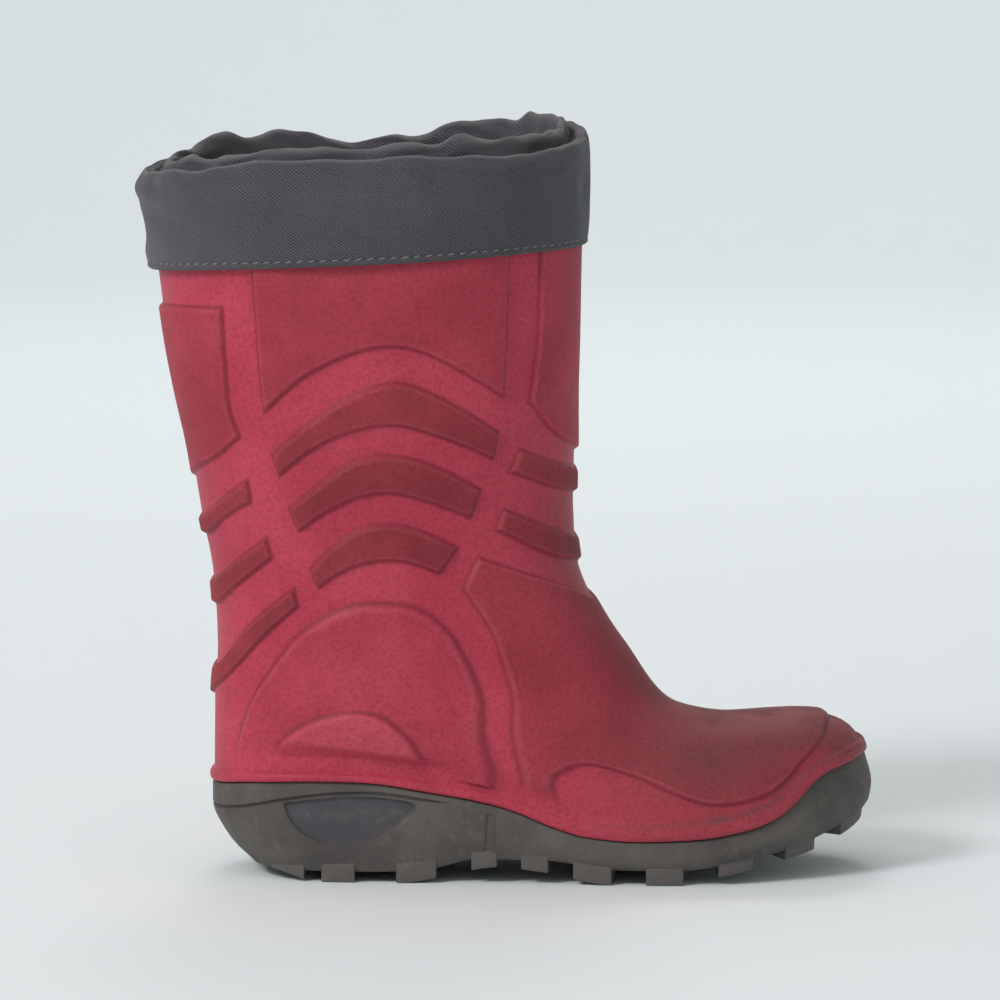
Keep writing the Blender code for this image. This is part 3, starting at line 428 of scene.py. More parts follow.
def half_pattern(reliefs, sheet, levels, spacing, line_spacing):
    """Triangles of a half wall on the work plane, which follow every relief's edge lines.

    Returns each point's turn, level and looks (lift, tone, crease and ridge), and the triangles.
    """
    across = np.linspace(0, sheet.width, WALL_COLUMNS + 1)
    groups = [np.stack([across, np.full(WALL_COLUMNS + 1, level * sheet.height)], axis=1)
              for level in levels]
    closing = [True] * len(groups)
    looks = [np.zeros((len(row), 4)) for row in groups]
    tops = [inset_line(relief_line(relief, sheet, line_spacing), crosses_middle(relief),
                       0.5 * relief.edge) for relief in reliefs]
    guards = []
    for index, relief in enumerate(reliefs):
        open_ended = crosses_middle(relief)
        foot = relief_line(relief, sheet, line_spacing)
        for edge in EDGE_PROFILE:
            line = inset_line(foot, open_ended, edge.inset * relief.edge)
            line[:, 0] = np.clip(line[:, 0], 0, sheet.width)
            look = np.zeros((len(line), 4))
            look[:, 0] = relief.height * edge.share
            look[:, 1] = relief.tone * edge.share
            # The crease weight places painted shade at a relief's foot, the ridge weight a painted
            # highlight along its top edge
            look[:, 2] = max(0.0, 1 - abs(edge.inset - 0.05) * 1.7)
            look[:, 3] = max(0.0, 1 - abs(edge.inset - 0.95) * 1.9)
            for other, (other_relief, top) in enumerate(zip(reliefs, tops)):
                if other != index:
                    within = inside(line, top)
                    look[:, 0] += other_relief.height * within
                    look[:, 1] += other_relief.tone * within
            groups.append(line)
            closing.append(open_ended)
            looks.append(look)
            if edge.inset in GUARD_INSETS:
                guards.append((line, open_ended))
    base = levels[-2] * sheet.height
    count_across = max(2, round(sheet.width / spacing))
    count_up = max(2, round((levels[-1] - levels[-2]) * sheet.height / spacing))
    share_a, share_b = np.meshgrid(np.linspace(0, 1, count_across + 1),
                                   np.linspace(0, 1, count_up + 1)[1:-1])
    shift = (0.5 * (np.arange(count_up - 1) % 2)[:, None] - 0.25) / count_across
    middle = (share_a > 0) & (share_a < 1)
    share_a = np.where(middle, np.clip(share_a + shift, 0.3 / count_across, 1 - 0.3 / count_across),
                       share_a)
    grid = np.stack([share_a.ravel() * sheet.width,
                     base + share_b.ravel() * (levels[-1] * sheet.height - base)], axis=1)
    on_edge = (grid[:, 0] == 0) | (grid[:, 0] == sheet.width)
    grid = grid[distance_to(grid, guards) > np.where(on_edge, 0.25, 0.42) * spacing]
    look = np.zeros((len(grid), 4))
    for relief, top in zip(reliefs, tops):
        within = inside(grid, top)
        look[:, 0] += relief.height * within
        look[:, 1] += relief.tone * within
    edges, start = [], 0
    for group, open_ended in zip(groups, closing):
        edges += [(start + step, start + step + 1) for step in range(len(group) - 1)]
        if not open_ended:
            edges.append((start + len(group) - 1, start))
        start += len(group)
    flat = np.vstack(groups + [grid])
    looks = np.vstack(looks + [look])
    result = delaunay_2d_cdt([tuple(point) for point in flat], edges, [], 0, 1e-7)
    spots = np.array([(point[0], point[1]) for point in result[0]])
    kept = np.array([looks[sources].mean(axis=0) if sources else np.full(4, np.nan)
                     for sources in result[3]])
    for new in np.flatnonzero(np.isnan(kept[:, 0])):
        apart = np.linalg.norm(spots - spots[new], axis=1) + np.isnan(kept[:, 0])
        kept[new] = kept[np.argsort(apart)[:3]].mean(axis=0)
    turn = np.clip(spots[:, 0] / sheet.width, 0, 1)
    turn[turn < 1e-5] = 0
    turn[turn > 1 - 1e-5] = 1
    return turn, spots[:, 1] / sheet.height, kept, np.array([tuple(face) for face in result[2]])


def wall_shells(pattern, point_of):
    """Both halves of a patterned wall."""
    turn, level, look, triangles = pattern
    outer = point_of(turn, level, -1, look[:, 0])
    inner = point_of(turn, level, 1, look[:, 0])
    looks = {"tone": look[:, 1], "crease": look[:, 2], "ridge": look[:, 3]}
    return [Shell(outer, triangles[:, ::-1], looks), Shell(inner, triangles, looks)]


def round_row(row_of, columns=WALL_COLUMNS):
    """Points right round, from the toe along the outer side to the heel and back inside."""
    turns = np.arange(columns + 1) / columns
    return np.vstack([row_of(turns, -1), row_of(turns, 1)[-2:0:-1]])


def rows_shell(rows, closed=False):
    """A band of four-sided faces through rows that all run right round."""
    count = len(rows[0])
    faces = []
    pairs = [(row, row + 1) for row in range(len(rows) - 1)]
    if closed:
        pairs.append((len(rows) - 1, 0))
    here = np.arange(count)
    after = (here + 1) % count
    for first, second in pairs:
        faces.append(np.stack([first * count + here, first * count + after,
                               second * count + after, second * count + here], axis=1))
    return Shell(np.vstack(rows), np.vstack(faces), {})


def lid_shell(row):
    """A row closed with strips that run from the outer side to the inner side."""
    count = len(row)
    half = count // 2
    faces = [[0, 1, count - 1, count - 1]]
    faces += [[step, step + 1, count - step - 1, count - step] for step in range(1, half - 1)]
    faces += [[half - 1, half, half + 1, half + 1]]
    return Shell(row, np.array(faces), {})


def make_piece(name, shells, material, smooth_angle=50):
    """Join shells into one closed mesh object with its faces pointing out."""
    points = np.vstack([shell.points for shell in shells]) + HEEL_ORIGIN
    faces, start = [], 0
    for shell in shells:
        faces += [[corner + start for corner in dict.fromkeys(face)]
                  for face in shell.faces.tolist()]
        start += len(shell.points)
    data = bpy.data.meshes.new(name)
    data.from_pydata(points.tolist(), [], faces)
    for look in ("tone", "crease", "ridge"):
        values = np.concatenate([shell.looks.get(look, np.zeros(len(shell.points)))
                                 for shell in shells])
        data.attributes.new(look, "FLOAT", "POINT").data.foreach_set("value", values)
    mesh = bmesh.new()
    mesh.from_mesh(data)
    bmesh.ops.remove_doubles(mesh, verts=mesh.verts, dist=2e-6)
    bmesh.ops.recalc_face_normals(mesh, faces=mesh.faces)
    if mesh.calc_volume(signed=True) < 0:
        bmesh.ops.reverse_faces(mesh, faces=mesh.faces)
    mesh.to_mesh(data)
    mesh.free()
    data.shade_smooth()
    data.set_sharp_from_angle(angle=math.radians(smooth_angle))
    piece = bpy.data.objects.new(name, data)
    bpy.context.scene.collection.objects.link(piece)
    piece.data.materials.append(material)
    return piece


def wall_inset(turn, drop):
    """How far the outsole's wall is set in from its outline, at a share of the way down."""
    cosine = np.cos(math.pi * turn)
    back = np.clip(-cosine, 0, 1) ** 3
    toe = np.clip(cosine, 0, 1) ** 3
    side_inset = smooth(SOLE_WALL, "side", drop)
    inset = side_inset + (smooth(SOLE_WALL, "back", drop) - side_inset) * back
    return (inset + (smooth(SOLE_WALL, "toe", drop) - side_inset) * toe) * SIDE_HEIGHT


def sole_point(turn, drop, side, lift):
    """Outer wall of the outsole, from the feather line (drop 0) to its foot (drop 1)."""
    top = lengthwise(FEATHER, outline(turn, side)[..., 0])
    foot = lengthwise(SOLE_BODY_FOOT, outline(turn, side)[..., 0])
    rounding = TOP_EDGE_ROUNDING * np.clip(1 - drop / 0.05, 0, 1) ** 2
    plan = inset_outline(turn, side, wall_inset(turn, drop) + rounding - lift)
    height = top + (foot - top) * drop - SEAT_GAP * (1 - drop)
    return with_inswing(plan[..., 0], plan[..., 1], height)


def turn_at(x):
    """The turn of the outline's point at x."""
    middle = FOOT_MIDDLE * SOLE_LENGTH
    reach = SOLE_LENGTH - middle if x > middle else middle
    return math.acos(max(-1.0, min(1.0, (x - middle) / reach))) / math.pi


def lug_columns(turns, side, depth):
    """Four corners of an edge lug's section at each turn: outside and inside, top and bottom."""
    along = outline(turns, side)[..., 0]
    inset = wall_inset(turns, np.ones(len(turns))) - LUG_PROUD
    top = lengthwise(SOLE_BODY_FOOT, along) + LUG_SHELF
    bottom = lengthwise(TREAD_RISE, along)
    return [
        sole_ring(turns, side, inset, top),
        sole_ring(turns, side, inset + LUG_TAPER, bottom),
        sole_ring(turns, side, inset + depth, bottom),
        sole_ring(turns, side, inset + depth - 2 * LUG_TAPER, top),
    ]


def lug_shell(lines):
    """A closed block through four lines of points, with its edges rounded."""
    mesh = bmesh.new()
    rows = [[mesh.verts.new(point) for point in line] for line in lines]
    for first, second in zip(rows, rows[1:] + rows[:1]):
        for step in range(len(first) - 1):
            mesh.faces.new((first[step], first[step + 1], second[step + 1], second[step]))
    for end in (0, -1):
        mesh.faces.new([row[end] for row in rows])
    bmesh.ops.recalc_face_normals(mesh, faces=mesh.faces)
    sharp = [edge for edge in mesh.edges if edge.calc_face_angle(0) > math.radians(40)]
    bmesh.ops.bevel(mesh, geom=sharp, offset=LUG_ROUNDING, segments=2, affect="EDGES", profile=0.6)
    bmesh.ops.triangulate(mesh, faces=[face for face in mesh.faces if len(face.verts) > 4])
    mesh.verts.index_update()
    points = np.array([vert.co for vert in mesh.verts])
    faces = [[vert.index for vert in face.verts] for face in mesh.faces]
    mesh.free()
    faces = np.array([face if len(face) == 4 else face + face[-1:] for face in faces])
    return Shell(points, faces, {"crease": np.zeros(len(points)), "tone": -np.ones(len(points))})


def lug_shells():
    shells = []
    for lug in EDGE_LUGS:
        turns = np.linspace(turn_at(lug.heel_end * SOLE_LENGTH), turn_at(lug.toe_end * SOLE_LENGTH), 5)
        for side in (-1, 1):
            shells.append(lug_shell(lug_columns(turns, side, LUG_DEPTH)))
    for lug in CENTRE_LUGS:
        lines = []
        for x in (lug.heel_end * SOLE_LENGTH, lug.toe_end * SOLE_LENGTH):
            for height in (lengthwise(SOLE_BODY_FOOT, x) + LUG_SHELF / 2, lengthwise(TREAD_RISE, x)):
                reach = CENTRE_LUG_REACH * BALL_WIDTH
                lines.append(np.array([[x, inswing(x) + side * reach, height] for side in (-1, 1)]))
        shells.append(lug_shell([lines[0], lines[1], lines[3], lines[2]]))
    for turn, end in ((TOE_LUG_TURN, 0.0), (HEEL_LUG_TURN, 1.0)):
        outer = lug_columns(np.linspace(turn, end, 6), -1, END_LUG_DEPTH)
        inner = lug_columns(np.linspace(end, turn, 6)[1:], 1, END_LUG_DEPTH)
        shells.append(lug_shell([np.vstack(pair) for pair in zip(outer, inner)]))
    return shells


def footbed_height(turn, side):
    return lengthwise(FOOTBED, outline(turn, side)[..., 0])


def shader(name):
    """A new material: its node tree, a function that adds a node, and its surface."""
    material = bpy.data.materials.new(name)
    material.use_nodes = True
    tree = material.node_tree

    def node(kind, **inputs):
        made = tree.nodes.new(kind)
        for key, value in inputs.items():
            if hasattr(made, key):
                setattr(made, key, value)
                continue
            socket = made.inputs[int(key[1:])] if key[0] == "i" and key[1:].isdigit() else (
                made.inputs[key.replace("_", " ")])
            if isinstance(value, bpy.types.NodeSocket):
                tree.links.new(value, socket)
            else:
                socket.default_value = value
        return made

    return material, node, tree.nodes["Principled BSDF"]


def link(target, socket_name, source):
    target.id_data.links.new(source, target.inputs[socket_name])


def mixed(node, share, first, second):
    """A colour between two others, each a colour or a socket."""
    made = node("ShaderNodeMix", data_type="RGBA")
    for index, value in ((0, share), (6, first), (7, second)):
        if isinstance(value, bpy.types.NodeSocket):
            made.id_data.links.new(value, made.inputs[index])
        else:
            made.inputs[index].default_value = (*value, 1) if index else value
    return made.outputs[2]


def noise(node, place, scale, detail=3.0, roughness=0.55):
    """Noise with about one blob in each 1 / scale metres."""
    return node("ShaderNodeTexNoise", Vector=place, Scale=scale, Detail=detail,
                Roughness=roughness).outputs["Fac"]


def ranged(node, value, low, high, to_low=0.0, to_high=1.0):
    made = node("ShaderNodeMapRange", interpolation_type="SMOOTHSTEP")
    made.id_data.links.new(value, made.inputs["Value"])
    for key, number in (("From Min", low), ("From Max", high), ("To Min", to_low), ("To Max", to_high)):
        made.inputs[key].default_value = number
    return made.outputs["Result"]


def times(node, *values):
    """The product of sockets and numbers."""
    product = values[0]
    for value in values[1:]:
        product = node("ShaderNodeMath", operation="MULTIPLY", i0=product, i1=value).outputs[0]
    return product


def sole_rubber():
    """Grey rubber with dried dust on its lugs and in patches, and painted shade in its groove and along
    its window and step.
    """
    material, node, surface = shader("worn_grey_rubber")
    place = node("ShaderNodeTexCoord").outputs["Object"]
    tone = node("ShaderNodeAttribute", attribute_name="tone").outputs["Fac"]
    crease = node("ShaderNodeAttribute", attribute_name="crease").outputs["Fac"]
    blotch = ranged(node, noise(node, place, 55.0, 5.0), 0.35, 0.68)
    speck = noise(node, place, 900.0, 2.0)
    base = mixed(node, blotch, (0.085, 0.076, 0.071), (0.125, 0.112, 0.101))
    base = mixed(node, ranged(node, tone, 0.2, 0.9), base, (0.078, 0.074, 0.084))
    base = mixed(node, ranged(node, tone, -0.2, -0.9), base, (0.125, 0.112, 0.106))
    # Painted shade in the crease at the foot of the groove, the heel window and the waist step
    base = mixed(node, times(node, crease, 0.55), base, (0.035, 0.031, 0.030))
    dust = times(node, ranged(node, noise(node, place, 130.0, 6.0, 0.7), 0.52, 0.74), 0.45)
    base = mixed(node, dust, base, (0.20, 0.165, 0.135))
    base = mixed(node, ranged(node, speck, 0.35, 0.75, 0.0, 0.25), base, (0.06, 0.05, 0.05))
    link(surface, "Base Color", base)
    link(surface, "Roughness", ranged(node, noise(node, place, 90.0), 0.3, 0.7, 0.62, 0.85))
    surface.inputs["Specular IOR Level"].default_value = 0.32
    grain = node("ShaderNodeBump", Strength=0.22, Distance=0.0004,
                 Height=noise(node, place, 1400.0, 3.0)).outputs["Normal"]
    worn = node("ShaderNodeBump", Strength=0.35, Distance=0.0012, Normal=grain,
                Height=noise(node, place, 160.0, 4.0)).outputs["Normal"]
    link(surface, "Normal", worn)
    return material


sole_pattern = half_pattern(SOLE_RELIEFS, SOLE_SHEET, (0.0, 0.02, 0.05, 1.0),
                            SOLE_SPACING, SOLE_LINE_SPACING)
rim_row = round_row(lambda turn, side: sole_ring(
    turn, side, rim_inset(turn), lengthwise(FEATHER, outline(turn, side)[..., 0]) - SEAT_GAP))
top_row = round_row(lambda turn, side: sole_point(turn, np.zeros(len(turn)), side, 0.0))
foot_row = round_row(lambda turn, side: sole_point(turn, np.ones(len(turn)), side, 0.0))
bed_row = round_row(lambda turn, side: sole_ring(
    turn, side, rim_inset(turn), footbed_height(turn, side)))
outsole = make_piece(
    "outsole_rubber",
    wall_shells(sole_pattern, sole_point)
    + [rows_shell([top_row, rim_row, bed_row]), lid_shell(bed_row), lid_shell(foot_row)]
    + lug_shells(),
    sole_rubber(),
)
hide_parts("outsole")
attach(outsole, "root")

# Insole: a loose sheet of pressed felt that lies on the footbed. The CAD solid has its shape, so it
# stays, with a fibrous finish of its own.


def felt(name, colour, scale):
    """Short pressed fibres in a mottled colour."""
    material, node, surface = shader(name)
    place = node("ShaderNodeTexCoord").outputs["Object"]
    fibre = noise(node, place, scale, 6.0, 0.75)
    dark = tuple(0.55 * part for part in colour)
    base = mixed(node, ranged(node, fibre, 0.3, 0.7), dark, colour)
    link(surface, "Base Color", base)
    surface.inputs["Roughness"].default_value = 0.95
    surface.inputs["Specular IOR Level"].default_value = 0.15
    surface.inputs["Sheen Weight"].default_value = 0.25
    surface.inputs["Sheen Roughness"].default_value = 0.6
    link(surface, "Normal", node("ShaderNodeBump", Strength=0.6, Distance=0.0008,
                                 Height=fibre).outputs["Normal"])
    return material


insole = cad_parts["insole"]
insole.data.materials.clear()
insole.data.materials.append(felt("grey_felt", (0.16, 0.155, 0.16), 1300.0))

# Upper: foot and shaft moulded in one from red foam, with raised textured fields, arched ribs on
# both sides, a dome over the ankle with a boss on it, and a thin flange along its foot.
Ring = namedtuple("Ring", "level back_x back_z front_x front_z middle lateral medial")
RINGS = (
    Ring(0.190, 0.0040, 0.262, 0.7180, 0.230, 0.300, 0.405, 0.385),
    Ring(0.310, 0.0085, 0.335, 0.6180, 0.332, 0.285, 0.400, 0.390),
    Ring(0.430, 0.0020, 0.445, 0.5570, 0.440, 0.275, 0.402, 0.400),
    Ring(0.520, -0.0140, 0.528, 0.5460, 0.530, 0.262, 0.420, 0.420),
    Ring(0.620, -0.0310, 0.630, 0.5470, 0.628, 0.252, 0.452, 0.452),
    Ring(0.710, -0.0490, 0.710, 0.5470, 0.712, 0.245, 0.478, 0.478),
    Ring(0.790, -0.0640, 0.788, 0.5490, 0.790, 0.240, 0.494, 0.494),
    Ring(0.890, -0.0770, 0.884, 0.5510, 0.902, 0.236, 0.500, 0.500),
    Ring(1.000, -0.0880, 0.984, 0.5540, 1.008, 0.232, 0.500, 0.500),
)
RING_FULLNESS = 2.15
RELIEF = 0.0015
BOSS_HEIGHT = 0.0014
FIELD_EDGE = 0.0013
DOME_EDGE = 0.0022
RIB_TONE = 1.0
FIELD_TONE = 0.55
VAMP_TONE = 0.62
DOME_TONE = 0.30
# The boss's negative tone paints it lighter all over, a painted highlight
BOSS_TONE = -0.45
ARCH_RIBS = (
    Relief(RELIEF, FIELD_EDGE, RIB_TONE, (
        (Spot(0.675, 0.620), Spot(0.606, 0.668), Spot(0.532, 0.715), Spot(0.468, 0.738),
         Spot(0.405, 0.718)),
        (Spot(0.297, 0.657),),
        (Spot(0.310, 0.613), Spot(0.403, 0.650), Spot(0.473, 0.670), Spot(0.537, 0.657),
         Spot(0.595, 0.630)),
        (Spot(0.665, 0.588),),
    )),
    Relief(RELIEF, FIELD_EDGE, RIB_TONE, (
        (Spot(0.655, 0.542), Spot(0.588, 0.583), Spot(0.525, 0.616), Spot(0.475, 0.623),
         Spot(0.417, 0.608)),
        (Spot(0.335, 0.570),),
        (Spot(0.357, 0.527), Spot(0.422, 0.550), Spot(0.480, 0.565), Spot(0.528, 0.560),
         Spot(0.580, 0.540)),
        (Spot(0.642, 0.508),),
    )),
    Relief(RELIEF, FIELD_EDGE, RIB_TONE, (
        (Spot(0.635, 0.450), Spot(0.583, 0.490), Spot(0.533, 0.515), Spot(0.485, 0.522),
         Spot(0.440, 0.510)),
        (Spot(0.385, 0.485),),
        (Spot(0.425, 0.445), Spot(0.480, 0.464), Spot(0.528, 0.462), Spot(0.572, 0.448)),
        (Spot(0.623, 0.420),),
    )),
)
HEEL_RIBS = (
    Relief(RELIEF, FIELD_EDGE, RIB_TONE, (
        (Spot(1.000, 0.517), Spot(0.900, 0.528), Spot(0.810, 0.555)),
        (Spot(0.735, 0.583),),
        (Spot(0.733, 0.550), Spot(0.815, 0.523), Spot(0.900, 0.495), Spot(1.000, 0.487)),
    )),
    Relief(RELIEF, FIELD_EDGE, RIB_TONE, (
        (Spot(1.000, 0.415), Spot(0.900, 0.427), Spot(0.795, 0.463)),
        (Spot(0.713, 0.497),),
        (Spot(0.708, 0.465), Spot(0.792, 0.425), Spot(0.900, 0.385), Spot(1.000, 0.375)),
    )),
    Relief(RELIEF, FIELD_EDGE, RIB_TONE, (
        (Spot(1.000, 0.253), Spot(0.900, 0.287), Spot(0.810, 0.345)),
        (Spot(0.670, 0.420),),
        (Spot(0.665, 0.390), Spot(0.763, 0.328), Spot(0.890, 0.235), Spot(1.000, 0.185)),
    )),
)
SHIN_RIBS = (
    Relief(RELIEF, FIELD_EDGE, RIB_TONE, (
        (Spot(0.000, 0.583), Spot(0.160, 0.605)),
        (Spot(0.253, 0.628),),
        (Spot(0.278, 0.593), Spot(0.160, 0.565), Spot(0.000, 0.548)),
    )),
    Relief(RELIEF, FIELD_EDGE, RIB_TONE, (
        (Spot(0.000, 0.480), Spot(0.180, 0.508)),
        (Spot(0.292, 0.540),),
        (Spot(0.312, 0.508), Spot(0.180, 0.465), Spot(0.000, 0.446)),
    )),
)
LEG_FIELDS = (
    Relief(RELIEF, FIELD_EDGE, FIELD_TONE, (
        (Spot(0.668, 0.922), Spot(0.668, 0.850), Spot(0.672, 0.760)),
        (Spot(0.676, 0.688), Spot(0.598, 0.743), Spot(0.527, 0.777), Spot(0.478, 0.790),
         Spot(0.427, 0.782), Spot(0.365, 0.753)),
        (Spot(0.285, 0.710), Spot(0.278, 0.807)),
        (Spot(0.273, 0.922),),
    )),
    Relief(RELIEF, FIELD_EDGE, FIELD_TONE, (
        (Spot(1.000, 0.842),),
        (Spot(0.730, 0.845), Spot(0.738, 0.772), Spot(0.747, 0.690)),
        (Spot(0.736, 0.645), Spot(0.823, 0.608), Spot(1.000, 0.572)),
    )),
    Relief(RELIEF, FIELD_EDGE, FIELD_TONE, (
        (Spot(0.000, 0.925),),
        (Spot(0.203, 0.925), Spot(0.208, 0.797)),
        (Spot(0.228, 0.700), Spot(0.150, 0.645), Spot(0.000, 0.612)),
    )),
)
VAMP_FIELD = Relief(RELIEF, FIELD_EDGE, VAMP_TONE, (
    (Spot(0.000, 0.380), Spot(0.228, 0.436)),
    (Spot(0.352, 0.470),),
    (Spot(0.390, 0.422), Spot(0.361, 0.355), Spot(0.362, 0.295), Spot(0.380, 0.217),
     Spot(0.413, 0.140)),
    (Spot(0.464, 0.032),),
    (Spot(0.430, 0.032), Spot(0.420, 0.066), Spot(0.400, 0.098), Spot(0.370, 0.118),
     Spot(0.346, 0.122), Spot(0.325, 0.100), Spot(0.312, 0.062), Spot(0.290, 0.038),
     Spot(0.245, 0.031), Spot(0.200, 0.031), Spot(0.165, 0.037), Spot(0.130, 0.050),
     Spot(0.085, 0.067), Spot(0.040, 0.077), Spot(0.000, 0.080)),
))
ANKLE_DOME = Relief(RELIEF, DOME_EDGE, DOME_TONE, (
    (Spot(0.872, 0.032), Spot(0.838, 0.100), Spot(0.802, 0.168), Spot(0.758, 0.250),
     Spot(0.688, 0.333),
     Spot(0.620, 0.375), Spot(0.562, 0.395), Spot(0.512, 0.400), Spot(0.470, 0.393),
     Spot(0.436, 0.368), Spot(0.416, 0.330), Spot(0.410, 0.265), Spot(0.428, 0.175)),
    (Spot(0.484, 0.030),),
))
ANKLE_BOSS = Relief(BOSS_HEIGHT, DOME_EDGE, BOSS_TONE, (
    (Spot(0.775, 0.052), Spot(0.738, 0.100), Spot(0.680, 0.150), Spot(0.620, 0.184),
     Spot(0.568, 0.196), Spot(0.527, 0.182), Spot(0.510, 0.143), Spot(0.528, 0.090)),
    (Spot(0.545, 0.052),),
))
UPPER_RELIEFS = ARCH_RIBS + HEEL_RIBS + SHIN_RIBS + LEG_FIELDS + (VAMP_FIELD, ANKLE_DOME, ANKLE_BOSS)
TOE_TOP_RISE = 0.0030
LIP_DEPTH = 0.0014
LIP_PROFILE = (
    Height(0.0000, 0.62),
    Height(0.0020, 0.88),
    Height(0.0060, 1.00),
    Height(0.0120, 1.00),
    Height(0.0165, 0.80),
    Height(0.0195, 0.30),
    Height(0.0225, 0.00),
)
UPPER_INNER_ROWS = 26


def ring_points(turn, side):
    """All key rings of the skin above the foot at one turn: an array of ring, point, xyz."""
    cosine = np.cos(math.pi * turn)
    sine = np.sin(math.pi * turn)
    power = 2 / RING_FULLNESS
    points = []
    for ring in RINGS:
        reach = np.where(cosine > 0, ring.front_x - ring.middle, ring.middle - ring.back_x)
        x = (ring.middle + reach * np.sign(cosine) * np.abs(cosine) ** power) * SOLE_LENGTH
        half = (ring.lateral if side < 0 else ring.medial) * SHAFT_WIDTH
        y = side * half * np.abs(sine) ** power
        run = (x / SOLE_LENGTH - ring.back_x) / (ring.front_x - ring.back_x)
        z = (ring.back_z + (ring.front_z - ring.back_z) * run) * SHAFT_HEIGHT
        points.append(np.stack([x, y, z], axis=-1))
    return np.array(points)


def base_skin(turn, level, side):
    """Point of the upper's outer skin without its relief.

    turn runs from 0 at the toe to 1 at the heel, level from 0 at the feather line to 1 at the
    top of the shaft.
    """
    turn, level = np.broadcast_arrays(np.asarray(turn, float), np.asarray(level, float))
    rings = ring_points(turn, side)
    plan = inset_outline(turn, side, upper_inset(turn))
    foot = np.stack([plan[..., 0], plan[..., 1], lengthwise(FEATHER, plan[..., 0])], axis=-1)
    vamp = rings[0]
    across = foot[..., :2] - vamp[..., :2]
    span = np.linalg.norm(foot - vamp, axis=-1)
    flat = across / np.maximum(np.linalg.norm(across, axis=-1), 1e-6)[..., None]
    forward = np.clip(1 - 2 * turn, 0, 1)
    lean = math.pi / 2 * (0.12 + 0.88 * (1 - forward) ** 1.3)
    vamp_way = np.stack(
        [-flat[..., 0] * np.cos(lean), -flat[..., 1] * np.cos(lean), np.sin(lean)], axis=-1
    )
    foot_way = np.stack([-0.25 * forward * flat[..., 0], 0 * lean, 1 + 0 * lean], axis=-1)
    foot_pull = (0.35 - 0.17 * forward**3) * span
    vamp_pull = (0.34 + 0.34 * forward**2) * span
    first = foot + foot_way * foot_pull[..., None]
    second = vamp - vamp_way * vamp_pull[..., None]
    t = np.clip(level / RINGS[0].level, 0, 1)[..., None]
    low = (1 - t) ** 3 * foot + 3 * t * (1 - t) ** 2 * first
    low = low + 3 * t**2 * (1 - t) * second + t**3 * vamp
    high = shaft_skin(rings, vamp_way * (0.55 * span)[..., None], level)
    point = np.where(level[..., None] < RINGS[0].level, low, high)
    return with_inswing(point[..., 0], point[..., 1], point[..., 2])


def shaft_skin(rings, first_tangent, level):
    """A smooth skin through the key rings from the vamp up."""
    levels = np.array([ring.level for ring in RINGS])
    tangents = np.zeros_like(rings)
    tangents[1:-1] = (rings[2:] - rings[:-2]) / (levels[2:] - levels[:-2])[:, None, None]
    tangents[-1] = (rings[-1] - rings[-2]) / (levels[-1] - levels[-2])
    tangents[0] = first_tangent / (levels[1] - levels[0])
    flat_level = np.clip(level, levels[0], levels[-1])
    row = np.clip(np.searchsorted(levels, flat_level, side="right") - 1, 0, len(levels) - 2)
    step = levels[row + 1] - levels[row]
    t = ((flat_level - levels[row]) / step)[..., None]
    pick = np.arange(rings.shape[1])
    start, end = rings[row, pick], rings[row + 1, pick]
    leave, arrive = tangents[row, pick], tangents[row + 1, pick]
    return between(t, step[..., None], start, end, leave, arrive)


def skin_normal(turn, level, side):
    """Outward direction of the base skin, without a sideways part on the middle line."""
    step = 0.004
    along = base_skin(np.clip(turn + step, 0, 1), level, side)
    along -= base_skin(np.clip(turn - step, 0, 1), level, side)
    up = base_skin(turn, np.clip(level + step, 0, 1), side)
    up -= base_skin(turn, np.clip(level - step, 0, 1), side)
    normal = -side * np.cross(up, along)
    on_middle = (turn < 1e-6) | (turn > 1 - 1e-6)
    normal[..., 1] = np.where(on_middle, 0, normal[..., 1])
    return normal / np.linalg.norm(normal, axis=-1, keepdims=True)


def skin_at(turn, level, side, offset):
    """Point at a distance outside (or, if negative, inside) the base skin."""
    turn = np.asarray(turn, float)
    level = np.broadcast_to(np.asarray(level, float), turn.shape)
    offset = np.broadcast_to(np.asarray(offset, float), turn.shape)
    return base_skin(turn, level, side) + skin_normal(turn, level, side) * offset[..., None]


def upper_point(turn, level, side, lift):
    """Outer face of the upper, flat over the toe; its bottom row stands on the sole's rim."""
    lip = LIP_DEPTH * smooth(LIP_PROFILE, "up", level)
    toe_top = TOE_TOP_RISE * bell((level - 0.098) / 0.085) * bell(turn / 0.34)
    point = skin_at(turn, level, side, lift + toe_top + np.where(level < LIP_PROFILE[-1].along, lip, 0))
    plan = inset_outline(turn, side, upper_inset(turn) - LIP_DEPTH * LIP_PROFILE[0].up)
    height = lengthwise(FEATHER, outline(turn, side)[..., 0])
    bottom = with_inswing(plan[..., 0], plan[..., 1], height)
    return np.where((level < 1e-6)[..., None], bottom, point)


